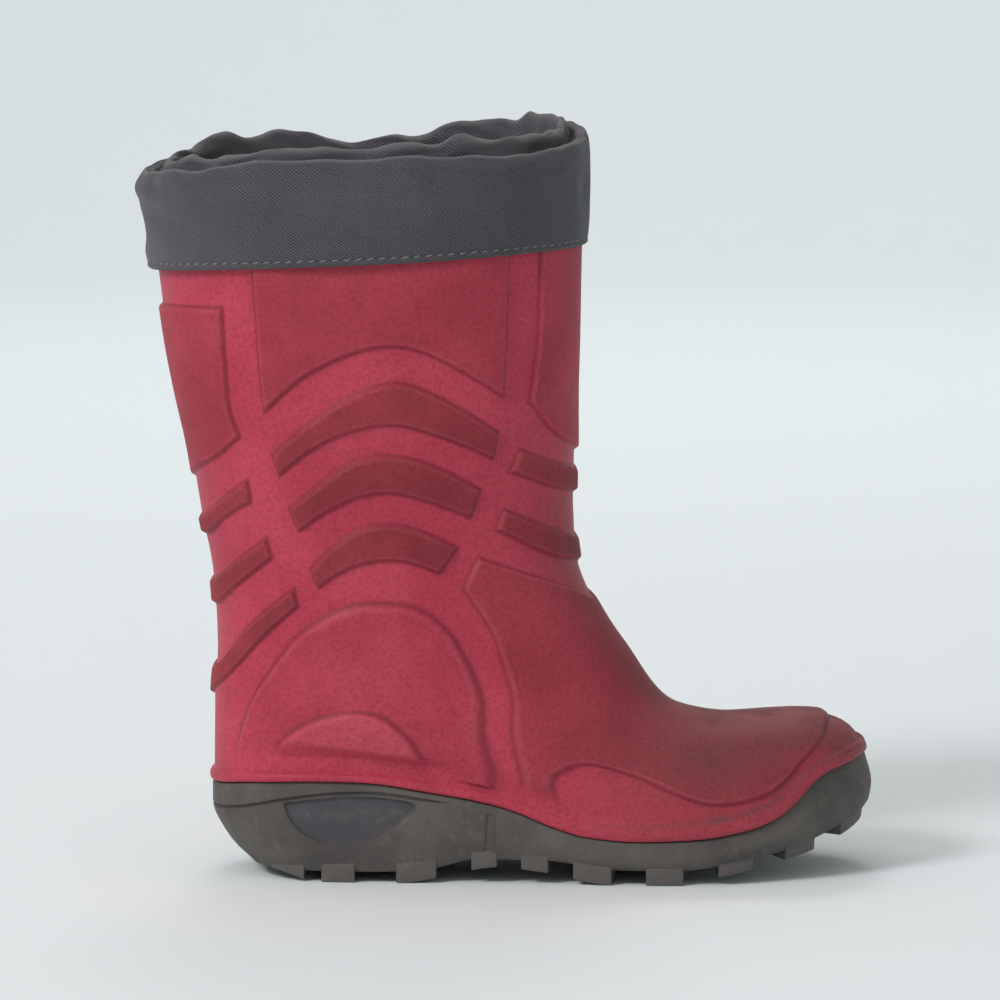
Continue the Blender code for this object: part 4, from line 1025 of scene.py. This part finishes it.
def red_foam():
    """Moulded red foam: satin channels, dull grained fields, dust on the toe, painted shade in creases
    and on the lower front, painted highlights on edges and the boss.
    """
    material, node, surface = shader("moulded_red_foam")
    place = node("ShaderNodeTexCoord").outputs["Object"]
    tone = node("ShaderNodeAttribute", attribute_name="tone").outputs["Fac"]
    crease = node("ShaderNodeAttribute", attribute_name="crease").outputs["Fac"]
    ridge = node("ShaderNodeAttribute", attribute_name="ridge").outputs["Fac"]
    axis = node("ShaderNodeSeparateXYZ", Vector=place).outputs
    facing = node("ShaderNodeSeparateXYZ", Vector=node("ShaderNodeNewGeometry").outputs["Normal"]).outputs
    cloud = noise(node, place, 38.0, 4.0)
    speckle = noise(node, place, 850.0, 3.0)
    channel = mixed(node, ranged(node, cloud, 0.35, 0.65), (0.46, 0.040, 0.074), (0.53, 0.056, 0.092))
    field = mixed(node, ranged(node, cloud, 0.30, 0.70), (0.240, 0.027, 0.038), (0.340, 0.040, 0.054))
    base = mixed(node, ranged(node, tone, 0.05, 1.0), channel, field)
    # Painted highlight: the boss is coloured lighter and pinker all over
    base = mixed(node, ranged(node, tone, 0.0, -0.4, 0.0, 0.8), base, (0.60, 0.115, 0.160))
    # Dust that lies on the toe and climbs the instep
    over_toe = ranged(node, axis["X"], 0.005, 0.075)
    low = ranged(node, axis["Z"], 0.115, 0.055)
    upward = ranged(node, facing["Z"], 0.05, 0.75)
    patchy = ranged(node, noise(node, place, 60.0, 5.0, 0.6), 0.25, 0.75, 0.55, 1.0)
    dust = times(node, over_toe, low, upward, patchy)
    base = mixed(node, times(node, dust, 0.85), base, (0.130, 0.056, 0.050))
    # Painted shade: the lower front of the shaft, where it faces the toe, is coloured darker and browner
    front_shade = times(node, ranged(node, facing["X"], 0.45, 0.95), ranged(node, axis["Z"], 0.17, 0.09), 0.45)
    base = mixed(node, front_shade, base, (0.13, 0.045, 0.045))
    side_dirt = times(node, ranged(node, axis["Z"], 0.070, 0.020), ranged(node, axis["X"], -0.01, 0.06),
                      ranged(node, noise(node, place, 75.0, 6.0, 0.65), 0.30, 0.70, 0.35, 1.0), 0.45)
    base = mixed(node, side_dirt, base, (0.120, 0.040, 0.036))
    # Painted shade in the crease along the foot of every relief
    base = mixed(node, times(node, crease, 0.60), base, (0.110, 0.012, 0.020))
    # Painted highlight along the top edge of every relief
    base = mixed(node, times(node, ridge, 0.13), base, (0.66, 0.17, 0.20))
    base = mixed(node, ranged(node, speckle, 0.42, 0.66, 0.0, 0.30), base, (0.16, 0.014, 0.028))
    link(surface, "Base Color", base)
    dull = ranged(node, tone, 0.0, 1.0, 0.50, 0.72)
    link(surface, "Roughness", node("ShaderNodeMath", operation="MAXIMUM", i0=dull,
                                    i1=times(node, dust, 0.90)).outputs[0])
    surface.inputs["Specular IOR Level"].default_value = 0.24
    grain = node("ShaderNodeBump", Distance=0.00025, Height=noise(node, place, 1500.0, 3.0),
                 Strength=ranged(node, tone, 0.0, 1.0, 0.10, 0.45)).outputs["Normal"]
    peel = node("ShaderNodeBump", Strength=0.12, Distance=0.0010, Normal=grain,
                Height=noise(node, place, 140.0, 3.0)).outputs["Normal"]
    link(surface, "Normal", peel)
    return material


lip_levels = tuple(row.along for row in LIP_PROFILE)
upper_pattern = half_pattern(UPPER_RELIEFS, UPPER_SHEET, lip_levels + (1.0,),
                             UPPER_SPACING, UPPER_LINE_SPACING)
# The dome, the boss and the vamp's rear corner run out softly towards the flange
turns, levels = upper_pattern[:2]
run_out = np.clip((0.100 - levels) / 0.038, 0, 1) * np.clip((turns - 0.492) / 0.03, 0, 1)
run_out = np.maximum(run_out, np.clip((0.070 - levels) / 0.030, 0, 1) * bell((turns - 0.445) / 0.045))
upper_pattern[2][:] *= (1 - run_out)[:, None]
upper_rows = [round_row(lambda turn, side: upper_point(turn, np.zeros(len(turn)), side, 0.0))]
upper_rows.append(round_row(lambda turn, side: sole_ring(
    turn, side, upper_inset(turn) + WALL, lengthwise(FEATHER, outline(turn, side)[..., 0]))))
for step in range(1, UPPER_INNER_ROWS + 1):
    upper_rows.append(round_row(lambda turn, side: skin_at(
        turn, (step / UPPER_INNER_ROWS) ** 0.9, side, -WALL)))
upper_rows.append(round_row(lambda turn, side: upper_point(turn, np.ones(len(turn)), side, 0.0)))
upper = make_piece("upper_foam", wall_shells(upper_pattern, upper_point) + [rows_shell(upper_rows)],
                   red_foam())
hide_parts("upper")
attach(upper, "root")

# Cuff: a tube of charcoal cotton twill, sewn double. It straddles the shaft's top edge, its hem has
# one row of stitches, and inside the rim a gathered ridge stands a little higher.
CuffLine = namedtuple("CuffLine", "along hem near_rim far_rim near_ridge far_ridge")
Fold = namedtuple("Fold", "up ridge out rows gather")
Crease = namedtuple("Crease", "degrees up reach width depth")
CUFF_RISE = 0.0180
CUFF_GAP = 0.0006
FIELD_CLEAR = 0.0018
SEAM_UP = 0.085
SEAM_OUT = FIELD_CLEAR + 0.0011
SEAM_GATHER = 0.15
CUFF_COLUMNS = 250
GATHER_DEPTH = 0.00055
RIM_WAVE = 0.036
CREASE_LEAN = 0.008
LEAST_CLOTH = 0.0009
INNER_HEM_UP = -0.10

# The cuff from the heel to the toe side of the shaft, near (outer) and far (inner) side: its hem as
# a share of the shaft's height; then how far its rim stands above the shaft's top, and the gathered
# ridge above that, as shares of the cuff's rise
CUFF_LINES = (
    CuffLine(0.00, 0.8990, 0.56, 0.58, 0.10, 0.10),
    CuffLine(0.05, 0.9005, 0.60, 0.70, 0.16, 0.14),
    CuffLine(0.10, 0.9020, 0.61, 0.80, 0.20, 0.16),
    CuffLine(0.15, 0.9030, 0.62, 0.86, 0.18, 0.22),
    CuffLine(0.20, 0.9040, 0.66, 0.86, 0.14, 0.12),
    CuffLine(0.27, 0.9050, 0.78, 0.90, 0.16, 0.14),
    CuffLine(0.34, 0.9055, 0.74, 0.88, 0.18, 0.12),
    CuffLine(0.42, 0.9065, 0.73, 0.76, 0.17, 0.10),
    CuffLine(0.50, 0.9070, 0.74, 0.72, 0.18, 0.10),
    CuffLine(0.60, 0.9080, 0.74, 0.78, 0.19, 0.10),
    CuffLine(0.67, 0.9090, 0.73, 0.86, 0.22, 0.12),
    CuffLine(0.71, 0.9100, 0.70, 0.92, 0.34, 0.14),
    CuffLine(0.78, 0.9110, 0.68, 1.02, 0.28, 0.12),
    CuffLine(0.86, 0.9125, 0.69, 0.96, 0.28, 0.10),
    CuffLine(0.92, 0.9130, 0.72, 1.08, 0.22, 0.14),
    CuffLine(0.97, 0.9140, 0.78, 1.08, 0.18, 0.14),
    CuffLine(1.00, 0.9145, 0.86, 0.94, 0.14, 0.14),
)
# The cloth's section in order. up is 0 at the hem, 1 at the shaft's top edge and 2 at the rim,
# ridge is a share of the ridge's height, out is in metres from the shaft's skin, and gather is how
# strongly gathers show there
CUFF_FOLD = (
    Fold(0.000, 0.0, FIELD_CLEAR, 2, 0.0),
    Fold(-0.020, 0.0, FIELD_CLEAR + 0.0006, 2, 0.0),
    Fold(0.010, 0.0, FIELD_CLEAR + 0.0013, 2, 0.05),
    Fold(0.045, 0.0, FIELD_CLEAR + 0.0015, 2, 0.10),
    Fold(SEAM_UP, 0.0, SEAM_OUT, 2, SEAM_GATHER),
    Fold(0.130, 0.0, FIELD_CLEAR + 0.0015, 6, 0.20),
    Fold(0.430, 0.0, CUFF_GAP + 0.0030, 6, 0.25),
    Fold(0.800, 0.0, CUFF_GAP + 0.0030, 7, 0.35),
    Fold(1.300, 0.0, CUFF_GAP + 0.0030, 6, 0.50),
    Fold(1.700, 0.0, CUFF_GAP + 0.0028, 4, 0.70),
    Fold(1.920, 0.0, CUFF_GAP + 0.0021, 3, 0.80),
    Fold(2.000, 0.0, CUFF_GAP + 0.0009, 3, 0.80),
    Fold(1.960, 0.0, -0.0006, 3, 0.80),
    Fold(1.780, 0.0, -0.0018, 3, 0.90),
    Fold(1.820, 0.15, -0.0030, 4, 1.0),
    Fold(1.950, 0.80, -0.0040, 3, 1.3),
    Fold(2.000, 1.00, -0.0054, 3, 1.5),
    Fold(1.940, 0.75, -0.0068, 4, 1.5),
    Fold(1.700, 0.20, -0.0078, 4, 1.3),
    Fold(1.300, 0.0, -0.0080, 4, 1.0),
    Fold(0.800, 0.0, -0.0074, 4, 0.7),
    Fold(0.300, 0.0, -0.0064, 3, 0.4),
    Fold(INNER_HEM_UP, 0.0, -0.0052, 2, 0.2),
    Fold(INNER_HEM_UP, 0.0, -0.0037, 3, 0.0),
    Fold(0.450, 0.0, -0.0037, 3, 0.0),
    Fold(1.000, 0.0, -0.0037, 2, 0.0),
    Fold(1.000, 0.0, CUFF_GAP, 3, 0.0),
    Fold(0.340, 0.0, FIELD_CLEAR, 3, 0.0),
)
# Creases given by their place round the cuff (0 at the toe, 90 the outer side, 180 the
# heel), their height on it, how far they reach round and up, and their depth in metres
CREASES = (
    Crease(97, 0.02, 33, 0.42, 0.0015),
    Crease(166, 1.45, 14, 0.40, 0.0012),
    Crease(150, 0.75, 18, 0.28, -0.0009),
    Crease(177, 0.62, 12, 0.40, -0.0016),
    Crease(178, 1.55, 12, 0.55, 0.0014),
    Crease(148, 1.72, 12, 0.24, 0.0009),
    Crease(126, 1.55, 20, 0.22, -0.0006),
    Crease(112, 1.10, 30, 0.26, 0.0005),
    Crease(95, 1.68, 26, 0.20, -0.0006),
    Crease(75, 0.90, 34, 0.34, 0.0005),
    Crease(60, 1.70, 16, 0.18, 0.0007),
    Crease(48, 1.35, 10, 0.46, -0.0007),
    Crease(30, 1.55, 12, 0.36, 0.0009),
    Crease(14, 1.00, 8, 0.60, -0.0007),
    Crease(200, 1.45, 14, 0.32, 0.0012),
    Crease(226, 0.90, 18, 0.30, -0.0009),
    Crease(252, 1.55, 24, 0.22, 0.0007),
    Crease(284, 0.80, 30, 0.34, -0.0006),
    Crease(312, 1.50, 18, 0.26, 0.0009),
    Crease(342, 1.10, 12, 0.50, -0.0008),
)


def gathers(degrees, phase):
    """Fine uneven gathers round the cuff, between about -1 and 1."""
    angle = np.radians(degrees)
    wander = 0.9 * np.sin(2 * angle + phase) + 0.5 * np.sin(5 * angle + 2.3 * phase)
    return (
        0.62 * np.sin(13 * angle + 2.2 * wander + phase)
        + 0.30 * np.sin(24 * angle - 1.6 * wander + 1.7 * phase)
        + 0.08 * np.sin(43 * angle + 3.0 * wander + 0.6 * phase)
    )


def cuff_section():
    """The cloth's section in even steps: a row of up, ridge, out and gather for each."""
    rows = []
    for index, here in enumerate(CUFF_FOLD):
        before, there, after = (CUFF_FOLD[(index + step) % len(CUFF_FOLD)] for step in (-1, 1, 2))
        straight = here.gather == there.gather == 0
        for step in range(here.rows):
            t = step / here.rows
            row = []
            for field in ("up", "ridge", "out", "gather"):
                a, b, c, d = (getattr(fold, field) for fold in (before, here, there, after))
                row.append(b + (c - b) * t if straight else through(t, a, b, c, d))
            rows.append(row)
    return rows


def cuff_points(turn, side, up, ridge, out, gather):
    """Points of the cuff at one place of its section."""
    degrees = 180 * turn if side < 0 else 360 - 180 * turn
    along = (1 + np.cos(math.pi * turn)) / 2
    half = "near" if side < 0 else "far"
    hem = smooth(CUFF_LINES, "hem", along)
    bulge = out + GATHER_DEPTH * gather * gathers(degrees, 0.8 + 3.1 * ridge)
    if out > 0 and gather > 0:
        for crease in CREASES:
            round_way = (degrees - crease.degrees + 180) % 360 - 180
            lean = CREASE_LEAN * round_way
            bulge = bulge + crease.depth * (
                bell(round_way / crease.reach) * bell((up - crease.up - lean) / crease.width))
        bulge = np.maximum(bulge, (FIELD_CLEAR if up < 0.4 else CUFF_GAP) + LEAST_CLOTH)
    point = skin_at(turn, np.minimum(hem + (1 - hem) * up, 1.0), side, bulge)
    if up >= 1:
        rim = (up - 1) * smooth(CUFF_LINES, half + "_rim", along)
        rim = rim + ridge * smooth(CUFF_LINES, half + "_ridge", along)
        rim = rim + RIM_WAVE * gather * np.clip(up - 1, 0, 1) * gathers(degrees, 2.9)
        point[..., 2] += SEAT_GAP + CUFF_RISE * rim
    return point


def cuff_row(up, ridge, out, gather):
    """One row of points right round the cuff."""
    return round_row(lambda turn, side: cuff_points(turn, side, up, ridge, out, gather),
                     CUFF_COLUMNS)


def twill():
    """Charcoal twill: fine diagonal ribs on the cloth's own UV map, faded in patches and lighter along
    the rim's fold.
    """
    material, node, surface = shader("charcoal_twill")
    cloth = node("ShaderNodeUVMap", uv_map="cloth").outputs["UV"]
    place = node("ShaderNodeTexCoord").outputs["Object"]
    turned = node("ShaderNodeMapping", Vector=cloth, Rotation=(0, 0, math.radians(-36))).outputs["Vector"]
    ribs = node("ShaderNodeTexWave", Vector=turned, Scale=400.0, Distortion=1.6, Detail=2.0,
                wave_type="BANDS", bands_direction="Y")
    ribs.inputs["Detail Scale"].default_value = 3.0
    rib = ribs.outputs["Fac"]
    yarn = node("ShaderNodeTexNoise", Vector=node(
        "ShaderNodeMapping", Vector=cloth, Scale=(1.0, 4.0, 1.0)).outputs["Vector"],
        Scale=1600.0, Detail=3.0).outputs["Fac"]
    fade = ranged(node, noise(node, place, 34.0, 4.0), 0.35, 0.70)
    base = mixed(node, fade, (0.040, 0.037, 0.045), (0.062, 0.057, 0.067))
    base = mixed(node, times(node, rib, 0.60), base, (0.175, 0.166, 0.180))
    base = mixed(node, ranged(node, yarn, 0.40, 0.75, 0.0, 0.45), base, (0.028, 0.026, 0.032))
    # Lighter along the crest of the fold at the cuff's rim
    worn = node("ShaderNodeAttribute", attribute_name="ridge").outputs["Fac"]
    base = mixed(node, times(node, worn, 0.5), base, (0.20, 0.19, 0.20))
    link(surface, "Base Color", base)
    surface.inputs["Roughness"].default_value = 0.9
    surface.inputs["Specular IOR Level"].default_value = 0.2
    surface.inputs["Sheen Weight"].default_value = 0.18
    surface.inputs["Sheen Roughness"].default_value = 0.45
    weave = node("ShaderNodeBump", Strength=0.5, Distance=0.0003, Height=rib).outputs["Normal"]
    link(surface, "Normal", node("ShaderNodeBump", Strength=0.35, Distance=0.0002, Normal=weave,
                                 Height=yarn).outputs["Normal"])
    return material


def build_cuff():
    section = cuff_section()
    rows = [cuff_row(*row) for row in section]
    shell = rows_shell(rows, closed=True)
    points = shell.points + HEEL_ORIGIN
    data = bpy.data.meshes.new("cuff_cloth")
    data.from_pydata(points.tolist(), [], shell.faces.tolist())
    grid = points.reshape(len(rows), -1, 3)
    middle = grid[len(rows) // 4]
    around = np.concatenate([[0], np.cumsum(np.linalg.norm(
        np.diff(np.vstack([middle, middle[:1]]), axis=0), axis=1))])
    side = grid[:, CUFF_COLUMNS // 2]
    upward = np.concatenate([[0], np.cumsum(np.linalg.norm(
        np.diff(np.vstack([side, side[:1]]), axis=0), axis=1))])
    count = grid.shape[1]
    row_index, column_index = np.divmod(np.arange(len(shell.faces)), count)
    corners = np.array([(0, 0), (0, 1), (1, 1), (1, 0)])
    uv = np.stack([around[column_index[:, None] + corners[:, 1]],
                   upward[row_index[:, None] + corners[:, 0]]], axis=-1)
    data.uv_layers.new(name="cloth").data.foreach_set("uv", uv.ravel())
    folded = np.array([bell((row[0] - 2.0) / 0.08) for row in section])
    data.attributes.new("ridge", "FLOAT", "POINT").data.foreach_set("value", np.repeat(folded, count))
    mesh = bmesh.new()
    mesh.from_mesh(data)
    bmesh.ops.recalc_face_normals(mesh, faces=mesh.faces)
    if mesh.calc_volume(signed=True) < 0:
        bmesh.ops.reverse_faces(mesh, faces=mesh.faces)
    mesh.to_mesh(data)
    mesh.free()
    data.shade_smooth()
    made = bpy.data.objects.new("cuff_cloth", data)
    bpy.context.scene.collection.objects.link(made)
    data.materials.append(twill())
    return made


cuff = build_cuff()
# A line along the hem seam round the cuff, a little outside the cloth, on which the stitches are laid
THREAD = 0.00052
seam_line = cuff_row(SEAM_UP, 0.0, SEAM_OUT + 0.15 * THREAD, SEAM_GATHER) + HEEL_ORIGIN
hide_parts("cuff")
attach(cuff, "root")

# Hem stitches: one seam of grey cotton thread around the cuff, a little above its hem, machine sewn
# through both layers of the fold. Geometry Nodes lay the stitches along the seam line.


def stitch_tree(thread):
    """Node tree that sews a seam of slanted stitches along a curve."""
    tree = bpy.data.node_groups.new("sew_seam", "GeometryNodeTree")
    tree.interface.new_socket("Seam", in_out="INPUT", socket_type="NodeSocketGeometry")
    for label, kind in (("Pitch", "Float"), ("Length", "Float"), ("Thread", "Float"),
                        ("Slant", "Float"), ("Unevenness", "Float"), ("Seed", "Int")):
        tree.interface.new_socket(label, in_out="INPUT", socket_type="NodeSocket" + kind)
    tree.interface.new_socket("Stitches", in_out="OUTPUT", socket_type="NodeSocketGeometry")
    given = tree.nodes.new("NodeGroupInput").outputs

    def node(kind, **settings):
        made = tree.nodes.new(kind)
        for key, value in settings.items():
            setattr(made, key, value)
        return made

    def join(source, target, socket):
        tree.links.new(source, target.inputs[socket])

    holes = node("GeometryNodeResampleCurve", mode="LENGTH")
    join(given["Seam"], holes, "Curve")
    join(given["Pitch"], holes, "Length")
    size = node("ShaderNodeCombineXYZ")
    join(given["Length"], size, 0)
    join(given["Thread"], size, 1)
    join(given["Thread"], size, 2)
    grain = node("GeometryNodeMeshUVSphere")
    grain.inputs["Segments"].default_value = 7
    grain.inputs["Rings"].default_value = 6
    grain.inputs["Radius"].default_value = 0.5
    stitch = node("GeometryNodeTransform")
    join(grain.outputs["Mesh"], stitch, "Geometry")
    join(size.outputs[0], stitch, "Scale")
    along = node("FunctionNodeAlignRotationToVector", axis="X")
    join(node("GeometryNodeInputTangent").outputs[0], along, "Vector")
    upright = node("FunctionNodeAlignRotationToVector", axis="Z", pivot_axis="X")
    join(along.outputs[0], upright, "Rotation")
    upright.inputs["Vector"].default_value = (0, 0, 1)
    wobble = node("FunctionNodeRandomValue", data_type="FLOAT")
    low = node("ShaderNodeMath", operation="SUBTRACT")
    high = node("ShaderNodeMath", operation="ADD")
    for limit, key in ((low, "Min"), (high, "Max")):
        join(given["Slant"], limit, 0)
        join(given["Unevenness"], limit, 1)
        socket = [one for one in wobble.inputs if one.name == key and one.type == "VALUE"][0]
        tree.links.new(limit.outputs[0], socket)
    join(given["Seed"], wobble, "Seed")
    tilt = node("ShaderNodeCombineXYZ")
    wobble_out = [one for one in wobble.outputs if one.type == "VALUE"][0]
    join(wobble_out, tilt, 1)
    turned = node("FunctionNodeEulerToRotation")
    join(tilt.outputs[0], turned, 0)
    slanted = node("FunctionNodeRotateRotation", rotation_space="LOCAL")
    join(upright.outputs[0], slanted, "Rotation")
    join(turned.outputs[0], slanted, "Rotate By")
    sewn = node("GeometryNodeInstanceOnPoints")
    join(holes.outputs["Curve"], sewn, "Points")
    join(stitch.outputs[0], sewn, "Instance")
    join(slanted.outputs[0], sewn, "Rotation")
    whole = node("GeometryNodeRealizeInstances")
    join(sewn.outputs[0], whole, "Geometry")
    smooth_shade = node("GeometryNodeSetShadeSmooth")
    join(whole.outputs[0], smooth_shade, "Geometry")
    finish = node("GeometryNodeSetMaterial")
    finish.inputs["Material"].default_value = thread
    join(smooth_shade.outputs[0], finish, "Geometry")
    join(finish.outputs[0], node("NodeGroupOutput"), 0)
    return tree


def sew(name, seam, tree, **sizes):
    """A plain mesh of stitches along a closed seam line."""
    data = bpy.data.curves.new(name + "_line", "CURVE")
    data.dimensions = "3D"
    spline = data.splines.new("POLY")
    spline.points.add(len(seam) - 1)
    spline.points.foreach_set("co", np.column_stack([seam, np.ones(len(seam))]).ravel())
    spline.use_cyclic_u = True
    line = bpy.data.objects.new(name + "_line", data)
    bpy.context.scene.collection.objects.link(line)
    modifier = line.modifiers.new("sewing", "NODES")
    modifier.node_group = tree
    for item in tree.interface.items_tree:
        if item.in_out == "INPUT" and item.name in sizes:
            modifier[item.identifier] = sizes[item.name]
    ready = bpy.context.evaluated_depsgraph_get()
    made_mesh = bpy.data.meshes.new_from_object(line.evaluated_get(ready), depsgraph=ready)
    bpy.data.objects.remove(line)
    made_mesh.name = name
    made = bpy.data.objects.new(name, made_mesh)
    bpy.context.scene.collection.objects.link(made)
    return made


def cotton_thread():
    material, node, surface = shader("grey_cotton_thread")
    place = node("ShaderNodeTexCoord").outputs["Object"]
    link(surface, "Base Color", mixed(node, noise(node, place, 900.0, 2.0), (0.13, 0.126, 0.135),
                                      (0.27, 0.262, 0.27)))
    surface.inputs["Roughness"].default_value = 0.85
    link(surface, "Normal", node("ShaderNodeBump", Strength=0.5, Distance=0.0002,
                                 Height=noise(node, place, 3200.0, 2.0)).outputs["Normal"])
    return material


hem_stitches = sew("hem_stitches", seam_line, stitch_tree(cotton_thread()), Pitch=0.0036,
                   Length=0.0025, Thread=THREAD, Slant=0.20, Unevenness=0.08, Seed=4)
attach(hem_stitches, "root")

# Studio: a pale floor that sweeps up far behind the boot, a soft key light from the upper left and
# a glow on the ground behind, with the camera at the likely height and distance of a table photograph.
CAMERA_FROM_HEEL = (0.0901, -1.900, 0.321)
CAMERA_TILT_DOWN = 6.17
LENS_MM = 220.2
FLOOR_RADIUS = 2.6
SWEEP_RADIUS = 1.2
WALL_HEIGHT = 2.6


def build_studio():
    sections = [(0.0, 0.0), (0.6, 0.0), (FLOOR_RADIUS, 0.0)]
    for step in range(1, 13):
        angle = math.radians(7.5 * step)
        sections.append((FLOOR_RADIUS + SWEEP_RADIUS * math.sin(angle),
                         SWEEP_RADIUS * (1 - math.cos(angle))))
    sections.append((FLOOR_RADIUS + SWEEP_RADIUS, WALL_HEIGHT))
    count = 96
    angles = 2 * math.pi * np.arange(count) / count
    points = [(0.0, 0.0, 0.0)]
    for radius, height in sections[1:]:
        points += [(radius * math.cos(angle), radius * math.sin(angle), height) for angle in angles]
    faces = [(0, 1 + step, 1 + (step + 1) % count) for step in range(count)]
    for ring in range(len(sections) - 2):
        base = 1 + ring * count
        for step in range(count):
            after = (step + 1) % count
            faces.append((base + step, base + count + step, base + count + after, base + after))
    data = bpy.data.meshes.new("studio_floor")
    data.from_pydata(points, [], faces)
    data.shade_smooth()
    made = bpy.data.objects.new("studio_floor", data)
    bpy.context.scene.collection.objects.link(made)
    material, _, surface = shader("pale_paper")
    surface.inputs["Base Color"].default_value = (0.860, 0.905, 0.920, 1)
    surface.inputs["Roughness"].default_value = 0.95
    surface.inputs["Specular IOR Level"].default_value = 0.1
    data.materials.append(material)
    return made


def area_light(name, place, aim, size, power, colour=(1, 1, 1)):
    data = bpy.data.lights.new(name, "AREA")
    data.shape = "DISK"
    data.size = size
    data.energy = power
    data.color = colour
    made = bpy.data.objects.new(name, data)
    made.location = place
    way = np.array(aim, float) - np.array(place, float)
    made.rotation_euler = (math.atan2(math.hypot(way[0], way[1]), -way[2]), 0,
                           math.atan2(way[1], way[0]) - math.pi / 2)
    bpy.context.scene.collection.objects.link(made)
    return made


studio = [
    build_studio(),
    area_light("key_light", (-1.5, -1.4, 1.6), (0, 0, 0.1), 0.8, 29.0),
    area_light("back_glow", (0.0, 1.7, 2.0), (0, 2.0, 0.0), 0.9, 13.0),
]
# The studio's air is dimmer on the boot's toe side, where a dark screen would stand
world = bpy.data.worlds.new("studio_air")
world.use_nodes = True
air = world.node_tree
air_place = air.nodes.new("ShaderNodeTexCoord").outputs["Generated"]
across = air.nodes.new("ShaderNodeSeparateXYZ")
air.links.new(air_place, across.inputs[0])
dimming = air.nodes.new("ShaderNodeMapRange")
dimming.interpolation_type = "SMOOTHSTEP"
air.links.new(across.outputs["X"], dimming.inputs["Value"])
for socket_name, number in (("From Min", -0.6), ("From Max", 0.9), ("To Min", 0.72), ("To Max", 0.22)):
    dimming.inputs[socket_name].default_value = number
air.nodes["Background"].inputs["Color"].default_value = (1.0, 0.99, 0.97, 1)
air.links.new(dimming.outputs["Result"], air.nodes["Background"].inputs["Strength"])
bpy.context.scene.world = world
bpy.context.scene.view_settings.view_transform = "Standard"

camera_data = bpy.data.cameras.new("photo_camera")
camera_data.lens = LENS_MM
camera_data.sensor_width = 36.0
camera_data.clip_end = 50.0
camera = bpy.data.objects.new("photo_camera", camera_data)
camera.location = HEEL_ORIGIN + np.array(CAMERA_FROM_HEEL)
camera.rotation_euler = (math.radians(90 - CAMERA_TILT_DOWN), 0, 0)
bpy.context.scene.collection.objects.link(camera)
bpy.context.scene.camera = camera
